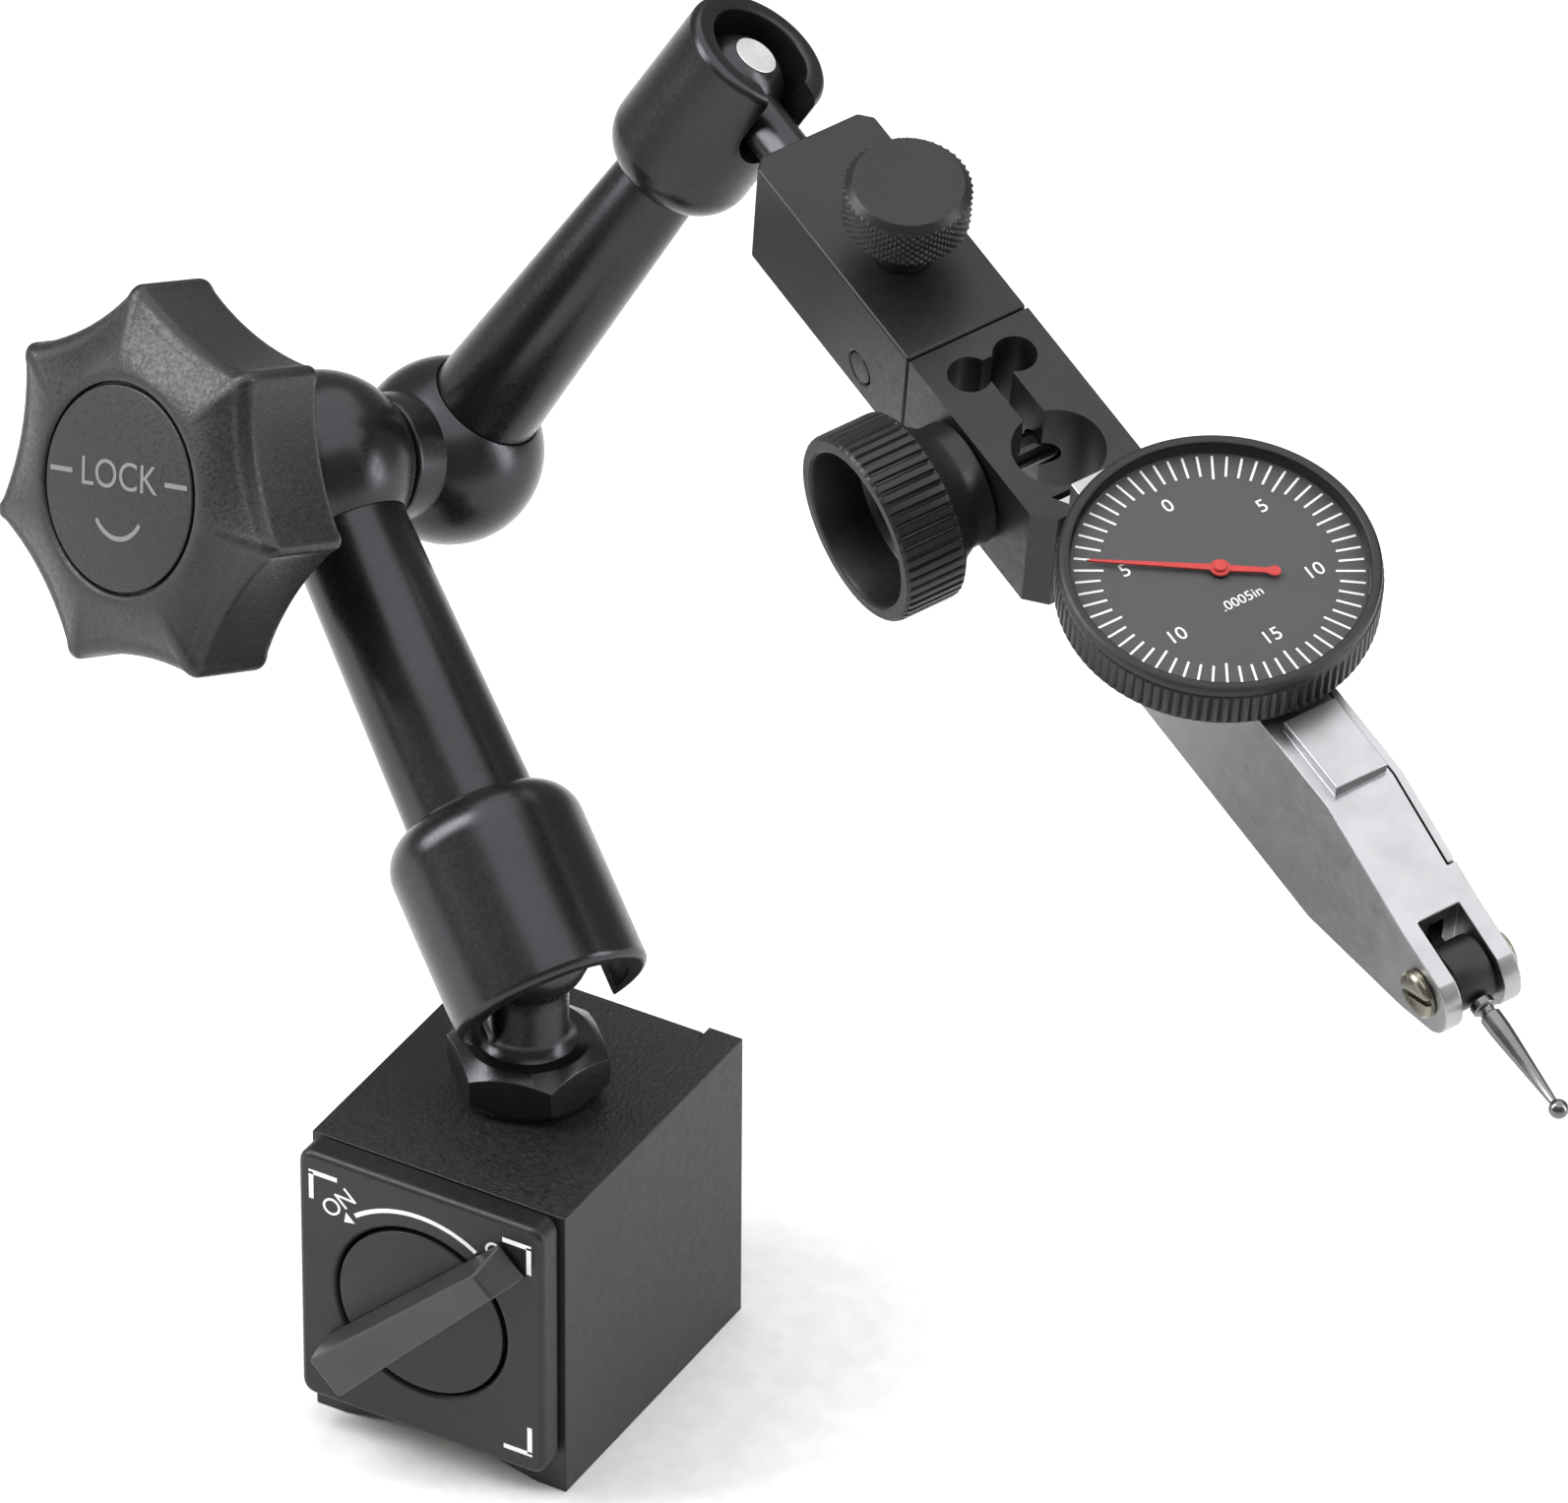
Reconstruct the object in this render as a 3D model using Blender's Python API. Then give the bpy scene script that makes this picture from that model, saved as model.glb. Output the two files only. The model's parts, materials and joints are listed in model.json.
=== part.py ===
"""Dial test indicator on an articulated magnetic base.

Lengths are in millimetres and angles in degrees; every mesh is scaled to metres as it is made.
World frame: origin at the bottom centre of the magnetic base, +Z up, -Y towards the switch.
Local frames: each arm's Z runs from its ball to its elbow or back, the elbow's Z is the clamping
axis towards the star knob, and the head's X, Y and Z run along the bar, across it and out of the dial.
"""

import math

import bmesh
import bpy
from mathutils import Matrix, Vector

MM = 0.001
FIT = 0.3  # gap between two pieces that touch

# Magnetic base
BASE_WIDTH = 30.0
BASE_FRONT = -21.7
BASE_REAR = 18.0
BASE_HEIGHT = 35.0
BODY_FRONT = -18.0
FOOT_WIDTH = 3.5
GROOVE_DEPTH = 2.6
SEPARATOR_WIDTH = 3.0
SWITCH_HEIGHT = 19.8
ROTOR_BORE_RADIUS = 10.0
ROTOR_BORE_END = 13.5
BUSHING_RADIUS = 5.2
BUSHING_START = 13.8
BUSHING_END = 15.8
SHAFT_RADIUS = 3.0
MAGNET_RADIUS = 9.5
PLATE_WIDTH = 29.0
PLATE_LOW = 4.2
PLATE_TOP = 35.3
REAR_PLATE_WIDTH = 21.4
REAR_PLATE_THICKNESS = 1.4
SWITCH_RADIUS = 9.7
HANDLE_RISE = 4.5
HANDLE_ANGLE = 45.0
HANDLE_TAIL = 13.2
HANDLE_NOSE = 15.9

# Ball stud on the base
HEX_FLATS = 15.0
HEX_BOTTOM = 36.1
HEX_TOP = 41.2
HEX_TURN = -14.0
NECK_RADIUS = 4.2
BALL_HEIGHT = 53.2
BALL_RADIUS = 6.75

# Lower arm
LOWER_TILT = 54.5
LOWER_HEADING = 149.1
LOWER_LENGTH = 55.0
LOWER_CUP_RADIUS = 10.5
LOWER_CUP_BORE = 8.1
LOWER_CUP_RIM = -7.0
LOWER_CUP_END = 15.0
LOWER_SLOT_WIDTH = 14.2
LOWER_SLOT_CENTRE = -2.8
LOWER_SLOT_TURN = -14.0
LOWER_TUBE_RADII = (7.0, 6.25)
ROD_RADIUS = 2.4
ROD_BORE = 2.8

# Elbow
ELBOW_SPACING = 19.05
ELBOW_RADIUS = 9.9
ELBOW_FLAT = 7.6
ELBOW_BORE = 5.2
COLLAR_RADIUS = 6.75
BOLT_RADIUS = 2.5
SOCKET_DEPTH = 6.5
KNOB_REAR = 16.0
KNOB_RIM = 27.2
KNOB_FACE = 28.8
KNOB_LOBES = 7
KNOB_TIP_RADIUS = 20.8
KNOB_VALLEY_RADIUS = 17.4
KNOB_TIP_ANGLE = 17.4
KNOB_DISC_RADIUS = 10.6

# Upper arm
UPPER_TILT = 31.6
UPPER_HEADING = 17.8
UPPER_LENGTH = 57.1
UPPER_CUP_RADIUS = 7.9
UPPER_CUP_BORE = 5.45
UPPER_CUP_RIM = 62.6
UPPER_CUP_LENGTH = 19.6
UPPER_SLOT_WIDTH = 6.6
UPPER_TUBE_RADII = (6.0, 4.5)
UPPER_BALL_RADIUS = 5.15
STEM_RADIUS = 2.6

# Head: a bar in two blocks, measured from the centre of the dial
BAR_HEADING = -26.6
BAR_PITCH = 16.3
BAR_ROLL = 7.9
HEAD_BALL = (-88.0, 0.0, -17.7)
BAR_REAR = -74.0
BAR_CHAMFER = 1.3
BAR_SEAM = -44.3
BAR_FRONT = -20.0
BAR_HALF_WIDTH = 7.0
BAR_TOP = -10.9
BAR_BOTTOM = -24.5
BAR_MIDDLE = -17.7
PIVOT = (-52.5, -20.9)
PIN_RADIUS = 1.7
TONGUE_REAR = -62.0
TONGUE_TOP = -16.5
TONGUE_HALF_WIDTH = 2.5
SCREW_PLACE = -56.4
SPRING_PLACE = -48.6
THUMB_RADIUS = 6.55
THUMB_THICKNESS = 6.0
SMALL_HOLE = (-39.8, 2.66, 2.25)
BIG_HOLE = (-27.6, 4.75)
SLIT_WIDTH = 2.5
CLAMP_PLACE = -33.2
CLAMP_RADIUS = 10.0
CLAMP_RIM = -19.9
CLAMP_SCREW_RADIUS = 1.7

# Indicator
BEZEL_RADIUS = 16.0
BEZEL_BORE = 14.9
BEZEL_TOP = 1.6
BEZEL_BOTTOM = -3.9
DIAL_RADIUS = 14.6
BODY_HALF_WIDTH = 4.35
BODY_TOP = -4.9
BODY_BOTTOM = -23.5
BODY_REAR = -19.4
COVER_FRONT = 36.0
COVER_THICKNESS = 0.9
LEVER_PIVOT = (44.0, -14.0)
FORK_START = 39.6
FORK_HALF_GAP = 2.4
HUB_RADIUS = 3.4
STYLUS_DROP = 4.6
STYLUS_LENGTH = 17.36
STYLUS_BALL_RADIUS = 1.0
CROWN_RADIUS = 5.0
SECTOR_PINION_RADIUS = 1.07
POINTER_PINION_RADIUS = 1.3
POINTER_ANGLE = -124.0


# ---------------------------------------------------------------- tools

def clear_scene():
    for obj in list(bpy.data.objects):
        bpy.data.objects.remove(obj, do_unlink=True)


def material(name, colour, roughness, metallic):
    mat = bpy.data.materials.new(name)
    mat.use_nodes = True
    shader = mat.node_tree.nodes["Principled BSDF"]
    shader.inputs["Base Color"].default_value = (*colour, 1.0)
    shader.inputs["Roughness"].default_value = roughness
    shader.inputs["Metallic"].default_value = metallic
    return mat


def empty(name, matrix):
    """An empty whose axes are the local frame of the pieces parented to it."""
    obj = bpy.data.objects.new(name, None)
    bpy.context.collection.objects.link(obj)
    obj.matrix_world = matrix
    return obj


def local_frame(name, origin, x_axis, z_axis):
    """A frame with its Z along z_axis and its X as near x_axis as that allows."""
    z = Vector(z_axis).normalized()
    x = Vector(x_axis)
    x = (x - z * x.dot(z)).normalized()
    y = z.cross(x)
    matrix = Matrix((x, y, z)).transposed().to_4x4()
    matrix.translation = Vector(origin) * MM
    return empty(name, matrix)


def from_mesh(name, bm, parent, mat):
    bmesh.ops.recalc_face_normals(bm, faces=bm.faces)
    bmesh.ops.scale(bm, vec=(MM, MM, MM), verts=bm.verts)
    mesh = bpy.data.meshes.new(name)
    bm.to_mesh(mesh)
    bm.free()
    mesh.materials.append(mat)
    mesh.shade_smooth()
    mesh.set_sharp_from_angle(angle=math.radians(35))
    obj = bpy.data.objects.new(name, mesh)
    bpy.context.collection.objects.link(obj)
    obj.parent = parent
    return obj


def along(axis, u, v, w):
    """The point with w along the named axis and u, v along the next two, in cyclic order."""
    point = [0.0, 0.0, 0.0]
    start = "XYZ".index(axis)
    point[start] = w
    point[(start + 1) % 3] = u
    point[(start + 2) % 3] = v
    return point


def stacked(name, rings, parent, mat, axis="Z", closed=False):
    """Skins a list of (outline, height) rings; closed joins the last ring to the first."""
    bm = bmesh.new()
    loops = []
    for outline, height in rings:
        loops.append([bm.verts.new(along(axis, u, v, height)) for u, v in outline])
    pairs = list(zip(loops, loops[1:]))
    if closed:
        pairs.append((loops[-1], loops[0]))
    for low, high in pairs:
        count = len(low)
        for i in range(count):
            j = (i + 1) % count
            bm.faces.new((low[i], low[j], high[j], high[i]))
    if not closed:
        bm.faces.new(loops[0])
        bm.faces.new(loops[-1])
    return from_mesh(name, bm, parent, mat)


def circle(radius, segments, centre=(0.0, 0.0)):
    points = []
    for i in range(segments):
        angle = 2 * math.pi * i / segments
        points.append((centre[0] + radius * math.cos(angle), centre[1] + radius * math.sin(angle)))
    return points


def prism(name, outline, low, high, parent, mat, axis="Z"):
    return stacked(name, [(outline, low), (outline, high)], parent, mat, axis)


def turned(name, profile, parent, mat, axis="Z", centre=(0.0, 0.0), segments=22):
    """A turned piece: (radius, height) points, where a radius of 0 is a point on the axis.

    A profile that never meets the axis is closed on itself, so the piece is a ring.
    """
    bm = bmesh.new()
    loops = []
    for radius, height in profile:
        if radius == 0:
            loops.append([bm.verts.new(along(axis, *centre, height))])
            continue
        ring = circle(radius, segments, centre)
        loops.append([bm.verts.new(along(axis, u, v, height)) for u, v in ring])
    pairs = list(zip(loops, loops[1:]))
    if len(loops[0]) > 1:
        pairs.append((loops[-1], loops[0]))
    for low, high in pairs:
        for i in range(segments):
            j = (i + 1) % segments
            corners = [low[i % len(low)], low[j % len(low)], high[j % len(high)], high[i % len(high)]]
            bm.faces.new(list(dict.fromkeys(corners)))
    return from_mesh(name, bm, parent, mat)


def cylinder(name, radius, low, high, parent, mat, axis="Z", centre=(0.0, 0.0), segments=16):
    return prism(name, circle(radius, segments, centre), low, high, parent, mat, axis)


def block(name, low, high, parent, mat):
    outline = [(low[0], low[1]), (high[0], low[1]), (high[0], high[1]), (low[0], high[1])]
    return prism(name, outline, low[2], high[2], parent, mat)


def arc(radius, start, end, steps, centre=(0.0, 0.0)):
    """Points on a circle from one angle to another, both included."""
    points = []
    for i in range(steps + 1):
        angle = math.radians(start + (end - start) * i / steps)
        points.append((centre[0] + radius * math.cos(angle), centre[1] + radius * math.sin(angle)))
    return points


def shaped(target, tool, operation):
    """Cuts target with tool, or joins tool to it; the tool itself isn't part of the model."""
    tool.hide_render = True
    tool.display_type = "WIRE"
    modifier = target.modifiers.new(tool.name, "BOOLEAN")
    modifier.operation = operation
    modifier.solver = "EXACT"
    modifier.object = tool
    return target


def cut(target, *tools):
    for tool in tools:
        shaped(target, tool, "DIFFERENCE")
    return target


def join(target, *tools):
    for tool in tools:
        shaped(target, tool, "UNION")
    return target


def bevelled(obj, width, segments=2, angle=40):
    modifier = obj.modifiers.new("edges", "BEVEL")
    modifier.width = width * MM
    modifier.segments = segments
    modifier.limit_method = "ANGLE"
    modifier.angle_limit = math.radians(angle)
    return obj


def rectangle(half_width, half_height, corner, centre=(0.0, 0.0), steps=3):
    """A rounded rectangle's outline, anticlockwise."""
    points = []
    for i, (sx, sy) in enumerate(((1, 1), (-1, 1), (-1, -1), (1, -1))):
        middle = (centre[0] + sx * (half_width - corner), centre[1] + sy * (half_height - corner))
        points += arc(corner, 90 * i, 90 * i + 90, steps, middle)
    return points


def direction(tilt, heading):
    """A unit vector tilted from +Z towards a compass heading counted from +X."""
    t = math.radians(tilt)
    h = math.radians(heading)
    return Vector((math.sin(t) * math.cos(h), math.sin(t) * math.sin(h), math.cos(t)))


# ---------------------------------------------------------------- materials and frames

clear_scene()

COATED = material("coated_steel", (0.018, 0.018, 0.019), 0.55, 0.0)
SATIN_BLACK = material("satin_black_steel", (0.025, 0.025, 0.028), 0.28, 0.6)
ANODISED = material("black_anodised", (0.035, 0.035, 0.038), 0.42, 0.4)
PLASTIC = material("black_plastic", (0.022, 0.022, 0.023), 0.5, 0.0)
DIAL_BLACK = material("dial_black", (0.11, 0.11, 0.115), 0.5, 0.0)
RED = material("pointer_red", (0.62, 0.05, 0.05), 0.4, 0.0)
CHROME = material("satin_chrome", (0.72, 0.72, 0.73), 0.22, 1.0)
STEEL = material("steel", (0.5, 0.5, 0.52), 0.25, 1.0)
BRASS = material("brass", (0.62, 0.48, 0.2), 0.3, 1.0)
MAGNET = material("magnet", (0.08, 0.075, 0.075), 0.5, 0.2)
JEWEL = material("ruby", (0.5, 0.02, 0.06), 0.1, 0.0)
GLASS = material("clear_plastic", (0.9, 0.92, 0.93), 0.05, 0.0)

LOWER_AXIS = direction(LOWER_TILT, LOWER_HEADING)
UPPER_AXIS = direction(UPPER_TILT, UPPER_HEADING)
ELBOW_AXIS = UPPER_AXIS.cross(LOWER_AXIS).normalized()
BALL_CENTRE = Vector((0.0, 0.0, BALL_HEIGHT))
LOWER_ELBOW = BALL_CENTRE + LOWER_AXIS * LOWER_LENGTH
UPPER_ELBOW = LOWER_ELBOW - ELBOW_AXIS * ELBOW_SPACING
HEAD_BALL_CENTRE = UPPER_ELBOW + UPPER_AXIS * UPPER_LENGTH
BAR_TURN = (
    Matrix.Rotation(math.radians(BAR_HEADING), 4, "Z")
    @ Matrix.Rotation(math.radians(BAR_PITCH), 4, "Y")
    @ Matrix.Rotation(math.radians(BAR_ROLL), 4, "X")
)
BAR_AXIS = BAR_TURN.to_3x3().col[0]
DIAL_CENTRE = HEAD_BALL_CENTRE - BAR_TURN.to_3x3() @ Vector(HEAD_BALL)

world = empty("base_frame", Matrix.Identity(4))
switch_frame = local_frame("switch_axis", (0, 0, SWITCH_HEIGHT), (1, 0, 0), (0, -1, 0))
lower_frame = local_frame("lower_ball_centre", BALL_CENTRE, (0, 0, -1), LOWER_AXIS)
elbow_frame = local_frame("elbow_axis", LOWER_ELBOW, LOWER_AXIS, ELBOW_AXIS)
upper_frame = local_frame("upper_arm_axis", UPPER_ELBOW, BAR_AXIS, UPPER_AXIS)
head_frame = empty("dial_centre", Matrix.Translation(DIAL_CENTRE * MM) @ BAR_TURN)


# ---------------------------------------------------------------- magnetic base

def make_base_body():
    """Steel block with a shallow V in its foot, a slot for the separator and the rotor's bore."""
    half = BASE_WIDTH / 2
    slot = SEPARATOR_WIDTH / 2 + FIT
    inner = half - FOOT_WIDTH
    shoulder = GROOVE_DEPTH * (inner - slot) / inner
    outline = [(half, 0), (half, BASE_HEIGHT), (-half, BASE_HEIGHT), (-half, 0), (-inner, 0)]
    outline += [(-slot, shoulder), (-slot, SWITCH_HEIGHT), (slot, SWITCH_HEIGHT)]
    outline += [(slot, shoulder), (inner, 0)]
    swapped = [(z, x) for x, z in outline]
    body = prism("base_body", swapped, BODY_FRONT, BASE_REAR, world, COATED, "Y")
    bevelled(body, 0.5, 2, 60)
    middle = (SWITCH_HEIGHT, 0.0)
    bore = cylinder("rotor_bore", ROTOR_BORE_RADIUS, BODY_FRONT - 1, ROTOR_BORE_END, world, COATED, "Y",
        middle)
    seat = cylinder("bushing_seat", BUSHING_RADIUS, 0, BUSHING_END + FIT, world, COATED, "Y", middle)
    recess_half = REAR_PLATE_WIDTH / 2 + FIT
    depth = BASE_REAR - REAR_PLATE_THICKNESS - 0.5 - FIT
    recess = block("rear_recess", (-recess_half, depth, -1), (recess_half, BASE_REAR + 1, BASE_HEIGHT + 1),
        world, COATED)
    hole = cylinder("stud_hole", 3.0, 30.3, BASE_HEIGHT + 1, world, COATED)
    return cut(body, bore, seat, recess, hole)


def make_base_parts():
    make_base_body()
    half = SEPARATOR_WIDTH / 2
    top = SWITCH_HEIGHT - ROTOR_BORE_RADIUS - FIT
    block("pole_separator", (-half, BODY_FRONT + FIT, GROOVE_DEPTH), (half, 15.8, top), world, BRASS)
    centre = (0.0, (PLATE_LOW + PLATE_TOP) / 2)
    outline = rectangle(PLATE_WIDTH / 2, (PLATE_TOP - PLATE_LOW) / 2, 1.5, centre)
    swapped = [(z, x) for x, z in outline]
    plate = prism("front_plate", swapped, BASE_FRONT, BODY_FRONT - FIT, world, ANODISED, "Y")
    bevelled(plate, 0.7, 2, 60)
    window = cylinder("switch_window", SWITCH_RADIUS + FIT, -30, 0, world, ANODISED, "Y",
        (SWITCH_HEIGHT, 0), 32)
    cut(plate, window)
    half = REAR_PLATE_WIDTH / 2
    rear = BASE_REAR - 0.5
    block("rear_plate", (-half, rear - REAR_PLATE_THICKNESS, 3.2), (half, rear, BASE_HEIGHT - 0.4), world,
        COATED)
    bore = SHAFT_RADIUS + FIT
    bushing = [(bore, BUSHING_START), (4.9, BUSHING_START), (4.9, BUSHING_END), (bore, BUSHING_END)]
    turned("rotor_bushing", bushing, world, BRASS, "Y", (SWITCH_HEIGHT, 0.0), 24)
    washer = [(3.3, 35.3), (7.0, 35.3), (7.0, 35.8), (3.3, 35.8)]
    turned("stud_washer", washer, world, STEEL, segments=20)


def rotated(outline, angle):
    cos, sin = math.cos(angle), math.sin(angle)
    return [(u * cos - v * sin, u * sin + v * cos) for u, v in outline]


def handle_outline(half_tail, half_nose, tail, nose):
    """The bar's outline seen from the front: a blunt tail at the lower left, a narrow nose opposite."""
    points = [(-tail, half_tail), (-tail, -half_tail), (nose, -half_nose), (nose, half_nose)]
    return rotated(points, math.radians(HANDLE_ANGLE))


def make_switch():
    """The switch is drawn in its own frame: X to the right, Y up, Z out of the front."""
    face = -BASE_FRONT
    rear = -BODY_FRONT + FIT
    disc = [(0, rear + 2.2), (3.2, rear + 2.2), (3.2, rear), (SWITCH_RADIUS, rear), (SWITCH_RADIUS, face),
        (0, face)]
    knob = turned("switch_knob", disc, switch_frame, PLASTIC, segments=32)
    wide = handle_outline(3.0, 2.2, HANDLE_TAIL, HANDLE_NOSE)
    narrow = handle_outline(2.45, 1.6, HANDLE_TAIL - 0.4, HANDLE_NOSE - 1.7)
    rings = [(wide, face + FIT), (narrow, face + HANDLE_RISE)]
    bar = bevelled(stacked("handle_bar", rings, switch_frame, PLASTIC), 0.35, 2)
    core = prism("handle_core", handle_outline(2.2, 2.0, 8.0, 8.0), face - 1, face + 1, switch_frame, PLASTIC)
    join(knob, core, bar)
    shaft = [(0, -BUSHING_END + FIT), (SHAFT_RADIUS, -BUSHING_END + FIT), (SHAFT_RADIUS, rear + 1.9),
        (0, rear + 1.9)]
    turned("rotor_shaft", shaft, switch_frame, STEEL, segments=24)
    inner = SHAFT_RADIUS + FIT
    magnet = [(inner, -12.5), (MAGNET_RADIUS, -12.5), (MAGNET_RADIUS, 16.4), (inner, 16.4)]
    turned("rotor_magnet", magnet, switch_frame, MAGNET, segments=24)


def sphere_arc(radius, start, end, steps, height=0.0):
    """Profile points on a ball of the given radius, by polar angle from +Z."""
    points = []
    for i in range(steps + 1):
        angle = math.radians(start + (end - start) * i / steps)
        points.append((radius * math.sin(angle), height + radius * math.cos(angle)))
    return points


def make_ball_stud():
    """One turned and milled piece: threaded shank, hexagon, flared neck and ball with a flat crown."""
    crown = 24.0
    neck = math.degrees(math.asin(NECK_RADIUS / BALL_RADIUS))
    profile = [(0, 30.6), (2.7, 30.6), (2.7, HEX_BOTTOM), (7.4, HEX_BOTTOM), (8.6, HEX_BOTTOM + 0.7)]
    profile += [(8.6, HEX_TOP - 1.4), (6.4, HEX_TOP), (5.2, HEX_TOP), (NECK_RADIUS, HEX_TOP + 1.4)]
    profile += sphere_arc(BALL_RADIUS, 180 - neck, crown, 7, BALL_HEIGHT)
    profile += [(0, BALL_HEIGHT + BALL_RADIUS * math.cos(math.radians(crown)))]
    stud = turned("ball_stud", profile, world, SATIN_BLACK)
    for i in range(6):
        side = [(HEX_FLATS / 2, -10), (20, -10), (20, 10), (HEX_FLATS / 2, 10)]
        side = rotated(side, math.radians(60 * i + HEX_TURN))
        cut(stud, prism(f"hex_side_{i}", side, HEX_BOTTOM - 0.5, HEX_TOP + 0.05, world, SATIN_BLACK))
    return stud


# ---------------------------------------------------------------- arms and elbow

def cup(name, frame, radius, bore, rim, end, centre, slot_width, slot_centre, slot_turn, socket, passage, side):
    """A ball cup: rounded shoulder, open rim, round-bottomed bore, side slot and tube socket.

    side is +1 where the shoulder lies towards +Z of the rim, and -1 where it lies towards -Z.
    """
    shoulder = 4.6
    lip = 0.9
    s = side
    profile = [(0, end), (radius - shoulder, end)]
    for i in range(1, 6):
        angle = math.radians(18 * i)
        profile.append((radius - shoulder + shoulder * math.sin(angle),
            end - s * shoulder * (1 - math.cos(angle))))
    profile += [(radius, rim + s * lip), (radius - 0.3, rim + s * 0.3), (radius - lip, rim)]
    profile += [(bore + 0.5, rim), (bore, rim + s * 0.5)]
    for i in range(6):
        angle = math.radians(18 * i)
        profile.append((bore * math.cos(angle), centre + s * bore * math.sin(angle)))
    profile.append((0, centre + s * bore))
    piece = turned(name, profile, frame, SATIN_BLACK)
    low = centre + s * (bore - 1)
    hole = cylinder(name + "_passage", passage, min(low, end + s), max(low, end + s), frame, SATIN_BLACK)
    deep = end - s * 3.5
    mouth = cylinder(name + "_socket", socket, min(deep, end + s), max(deep, end + s), frame, SATIN_BLACK)
    half = slot_width / 2
    outline = [(-half, rim - s * 3), (-half, slot_centre)]
    for i in range(1, 10):
        angle = math.radians(18 * i)
        outline.append((-half * math.cos(angle), slot_centre + s * half * math.sin(angle)))
    outline += [(half, slot_centre), (half, rim - s * 3)]
    turn = Matrix.Rotation(math.radians(slot_turn), 4, "Z")
    slot_frame = empty(name + "_slot_frame", frame.matrix_world @ turn)
    slot = prism(name + "_slot", outline, 0, radius + 3, slot_frame, SATIN_BLACK, "X")
    return cut(piece, mouth, hole, slot)


def tube(name, frame, radii, low, high, bore):
    profile = [(bore, low), (radii[0], low), (radii[1], high), (bore, high)]
    return turned(name, profile, frame, SATIN_BLACK)


def make_lower_arm():
    cup("lower_cup", lower_frame, LOWER_CUP_RADIUS, LOWER_CUP_BORE, LOWER_CUP_RIM, LOWER_CUP_END, 0.0,
        LOWER_SLOT_WIDTH, LOWER_SLOT_CENTRE, LOWER_SLOT_TURN, LOWER_TUBE_RADII[0] + FIT, ROD_BORE, 1)
    low = LOWER_CUP_END - 3.5 + FIT
    high = LOWER_LENGTH - SOCKET_DEPTH - FIT
    tube("lower_tube", lower_frame, LOWER_TUBE_RADII, low, high, ROD_BORE)
    inner = BALL_RADIUS + 0.25
    outer = LOWER_CUP_BORE - 0.35
    shell = sphere_arc(outer, 0, 58, 5)[1:] + sphere_arc(inner, 58, 0, 5)[:-1]
    profile = [(0, outer)] + shell + [(0, inner)]
    turned("lower_ball_seat", profile, lower_frame, BRASS, segments=20)
    rod = [(0, outer + FIT), (ROD_RADIUS, outer + FIT + 0.1), (ROD_RADIUS, LOWER_LENGTH - 6.2),
        (1.4, LOWER_LENGTH - 5.1)]
    rod.append((0, LOWER_LENGTH - 5.1))
    turned("lower_push_rod", rod, lower_frame, STEEL, segments=20)


def make_elbow():
    """Two ball-shaped housings that the draw bolt clamps face to face, each holding one arm's tube."""
    steps = 10
    high = 8.3
    profile = [(ELBOW_BORE, -ELBOW_FLAT)]
    for i in range(steps + 1):
        z = -ELBOW_FLAT + (high + ELBOW_FLAT) * i / steps
        profile.append((math.sqrt(ELBOW_RADIUS ** 2 - z ** 2), z))
    profile.append((ELBOW_BORE, high))
    lower = turned("lower_elbow_housing", profile, elbow_frame, SATIN_BLACK)
    inward = Vector((-1, 0, 0))
    cut_for_arm(lower, Vector((0, 0, 0)), inward, LOWER_TUBE_RADII[1])

    middle = -ELBOW_SPACING
    face = -ELBOW_FLAT - FIT
    neck = middle + math.sqrt(ELBOW_RADIUS ** 2 - COLLAR_RADIUS ** 2)
    profile = [(0, middle - ELBOW_RADIUS)]
    start = math.degrees(math.acos((neck - middle) / ELBOW_RADIUS))
    profile += sphere_arc(ELBOW_RADIUS, 170, start, steps, middle)
    profile += [(COLLAR_RADIUS, face - 0.4), (COLLAR_RADIUS - 0.4, face), (ELBOW_BORE, face)]
    profile += [(ELBOW_BORE, middle - 5.2), (0, middle - 5.2)]
    upper = turned("upper_elbow_housing", profile, elbow_frame, SATIN_BLACK)
    arm = elbow_frame.matrix_world.to_3x3().inverted() @ UPPER_AXIS
    cut_for_arm(upper, Vector((0, 0, middle)), arm, UPPER_TUBE_RADII[0])

    head = middle - 4.9
    bolt = [(0, head), (4.6, head), (4.6, head + 2.4), (BOLT_RADIUS, head + 2.4), (BOLT_RADIUS, 23.4),
        (0, 23.4)]
    turned("elbow_bolt", bolt, elbow_frame, STEEL, segments=24)
    ring = BOLT_RADIUS + FIT
    for name, base in (("upper_wedge", middle - 2.2), ("lower_wedge", -3.0)):
        wedge = [(ring, base), (4.8, base), (4.2, base + 6.0), (ring, base + 6.0)]
        turned(name, wedge, elbow_frame, BRASS, segments=24)
    sleeve = [(ring, 3.3), (4.9, 3.3), (4.9, KNOB_REAR - FIT), (ring, KNOB_REAR - FIT)]
    turned("thrust_sleeve", sleeve, elbow_frame, SATIN_BLACK, segments=20)


def cut_for_arm(housing, centre, arm, tube_radius):
    """Sinks the arm's socket and the push rod's passage into a housing, along the arm."""
    side = Vector((0, 0, 1)).cross(arm)
    turn = Matrix((side, arm.cross(side), arm)).transposed().to_4x4()
    turn.translation = centre * MM
    place = empty(housing.name + "_arm", elbow_frame.matrix_world @ turn)
    socket = cylinder(housing.name + "_socket", tube_radius + FIT, SOCKET_DEPTH, 14, place, SATIN_BLACK)
    passage = cylinder(housing.name + "_passage", ROD_BORE, 2, 12, place, SATIN_BLACK, segments=20)
    cut(housing, socket, passage)


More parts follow.
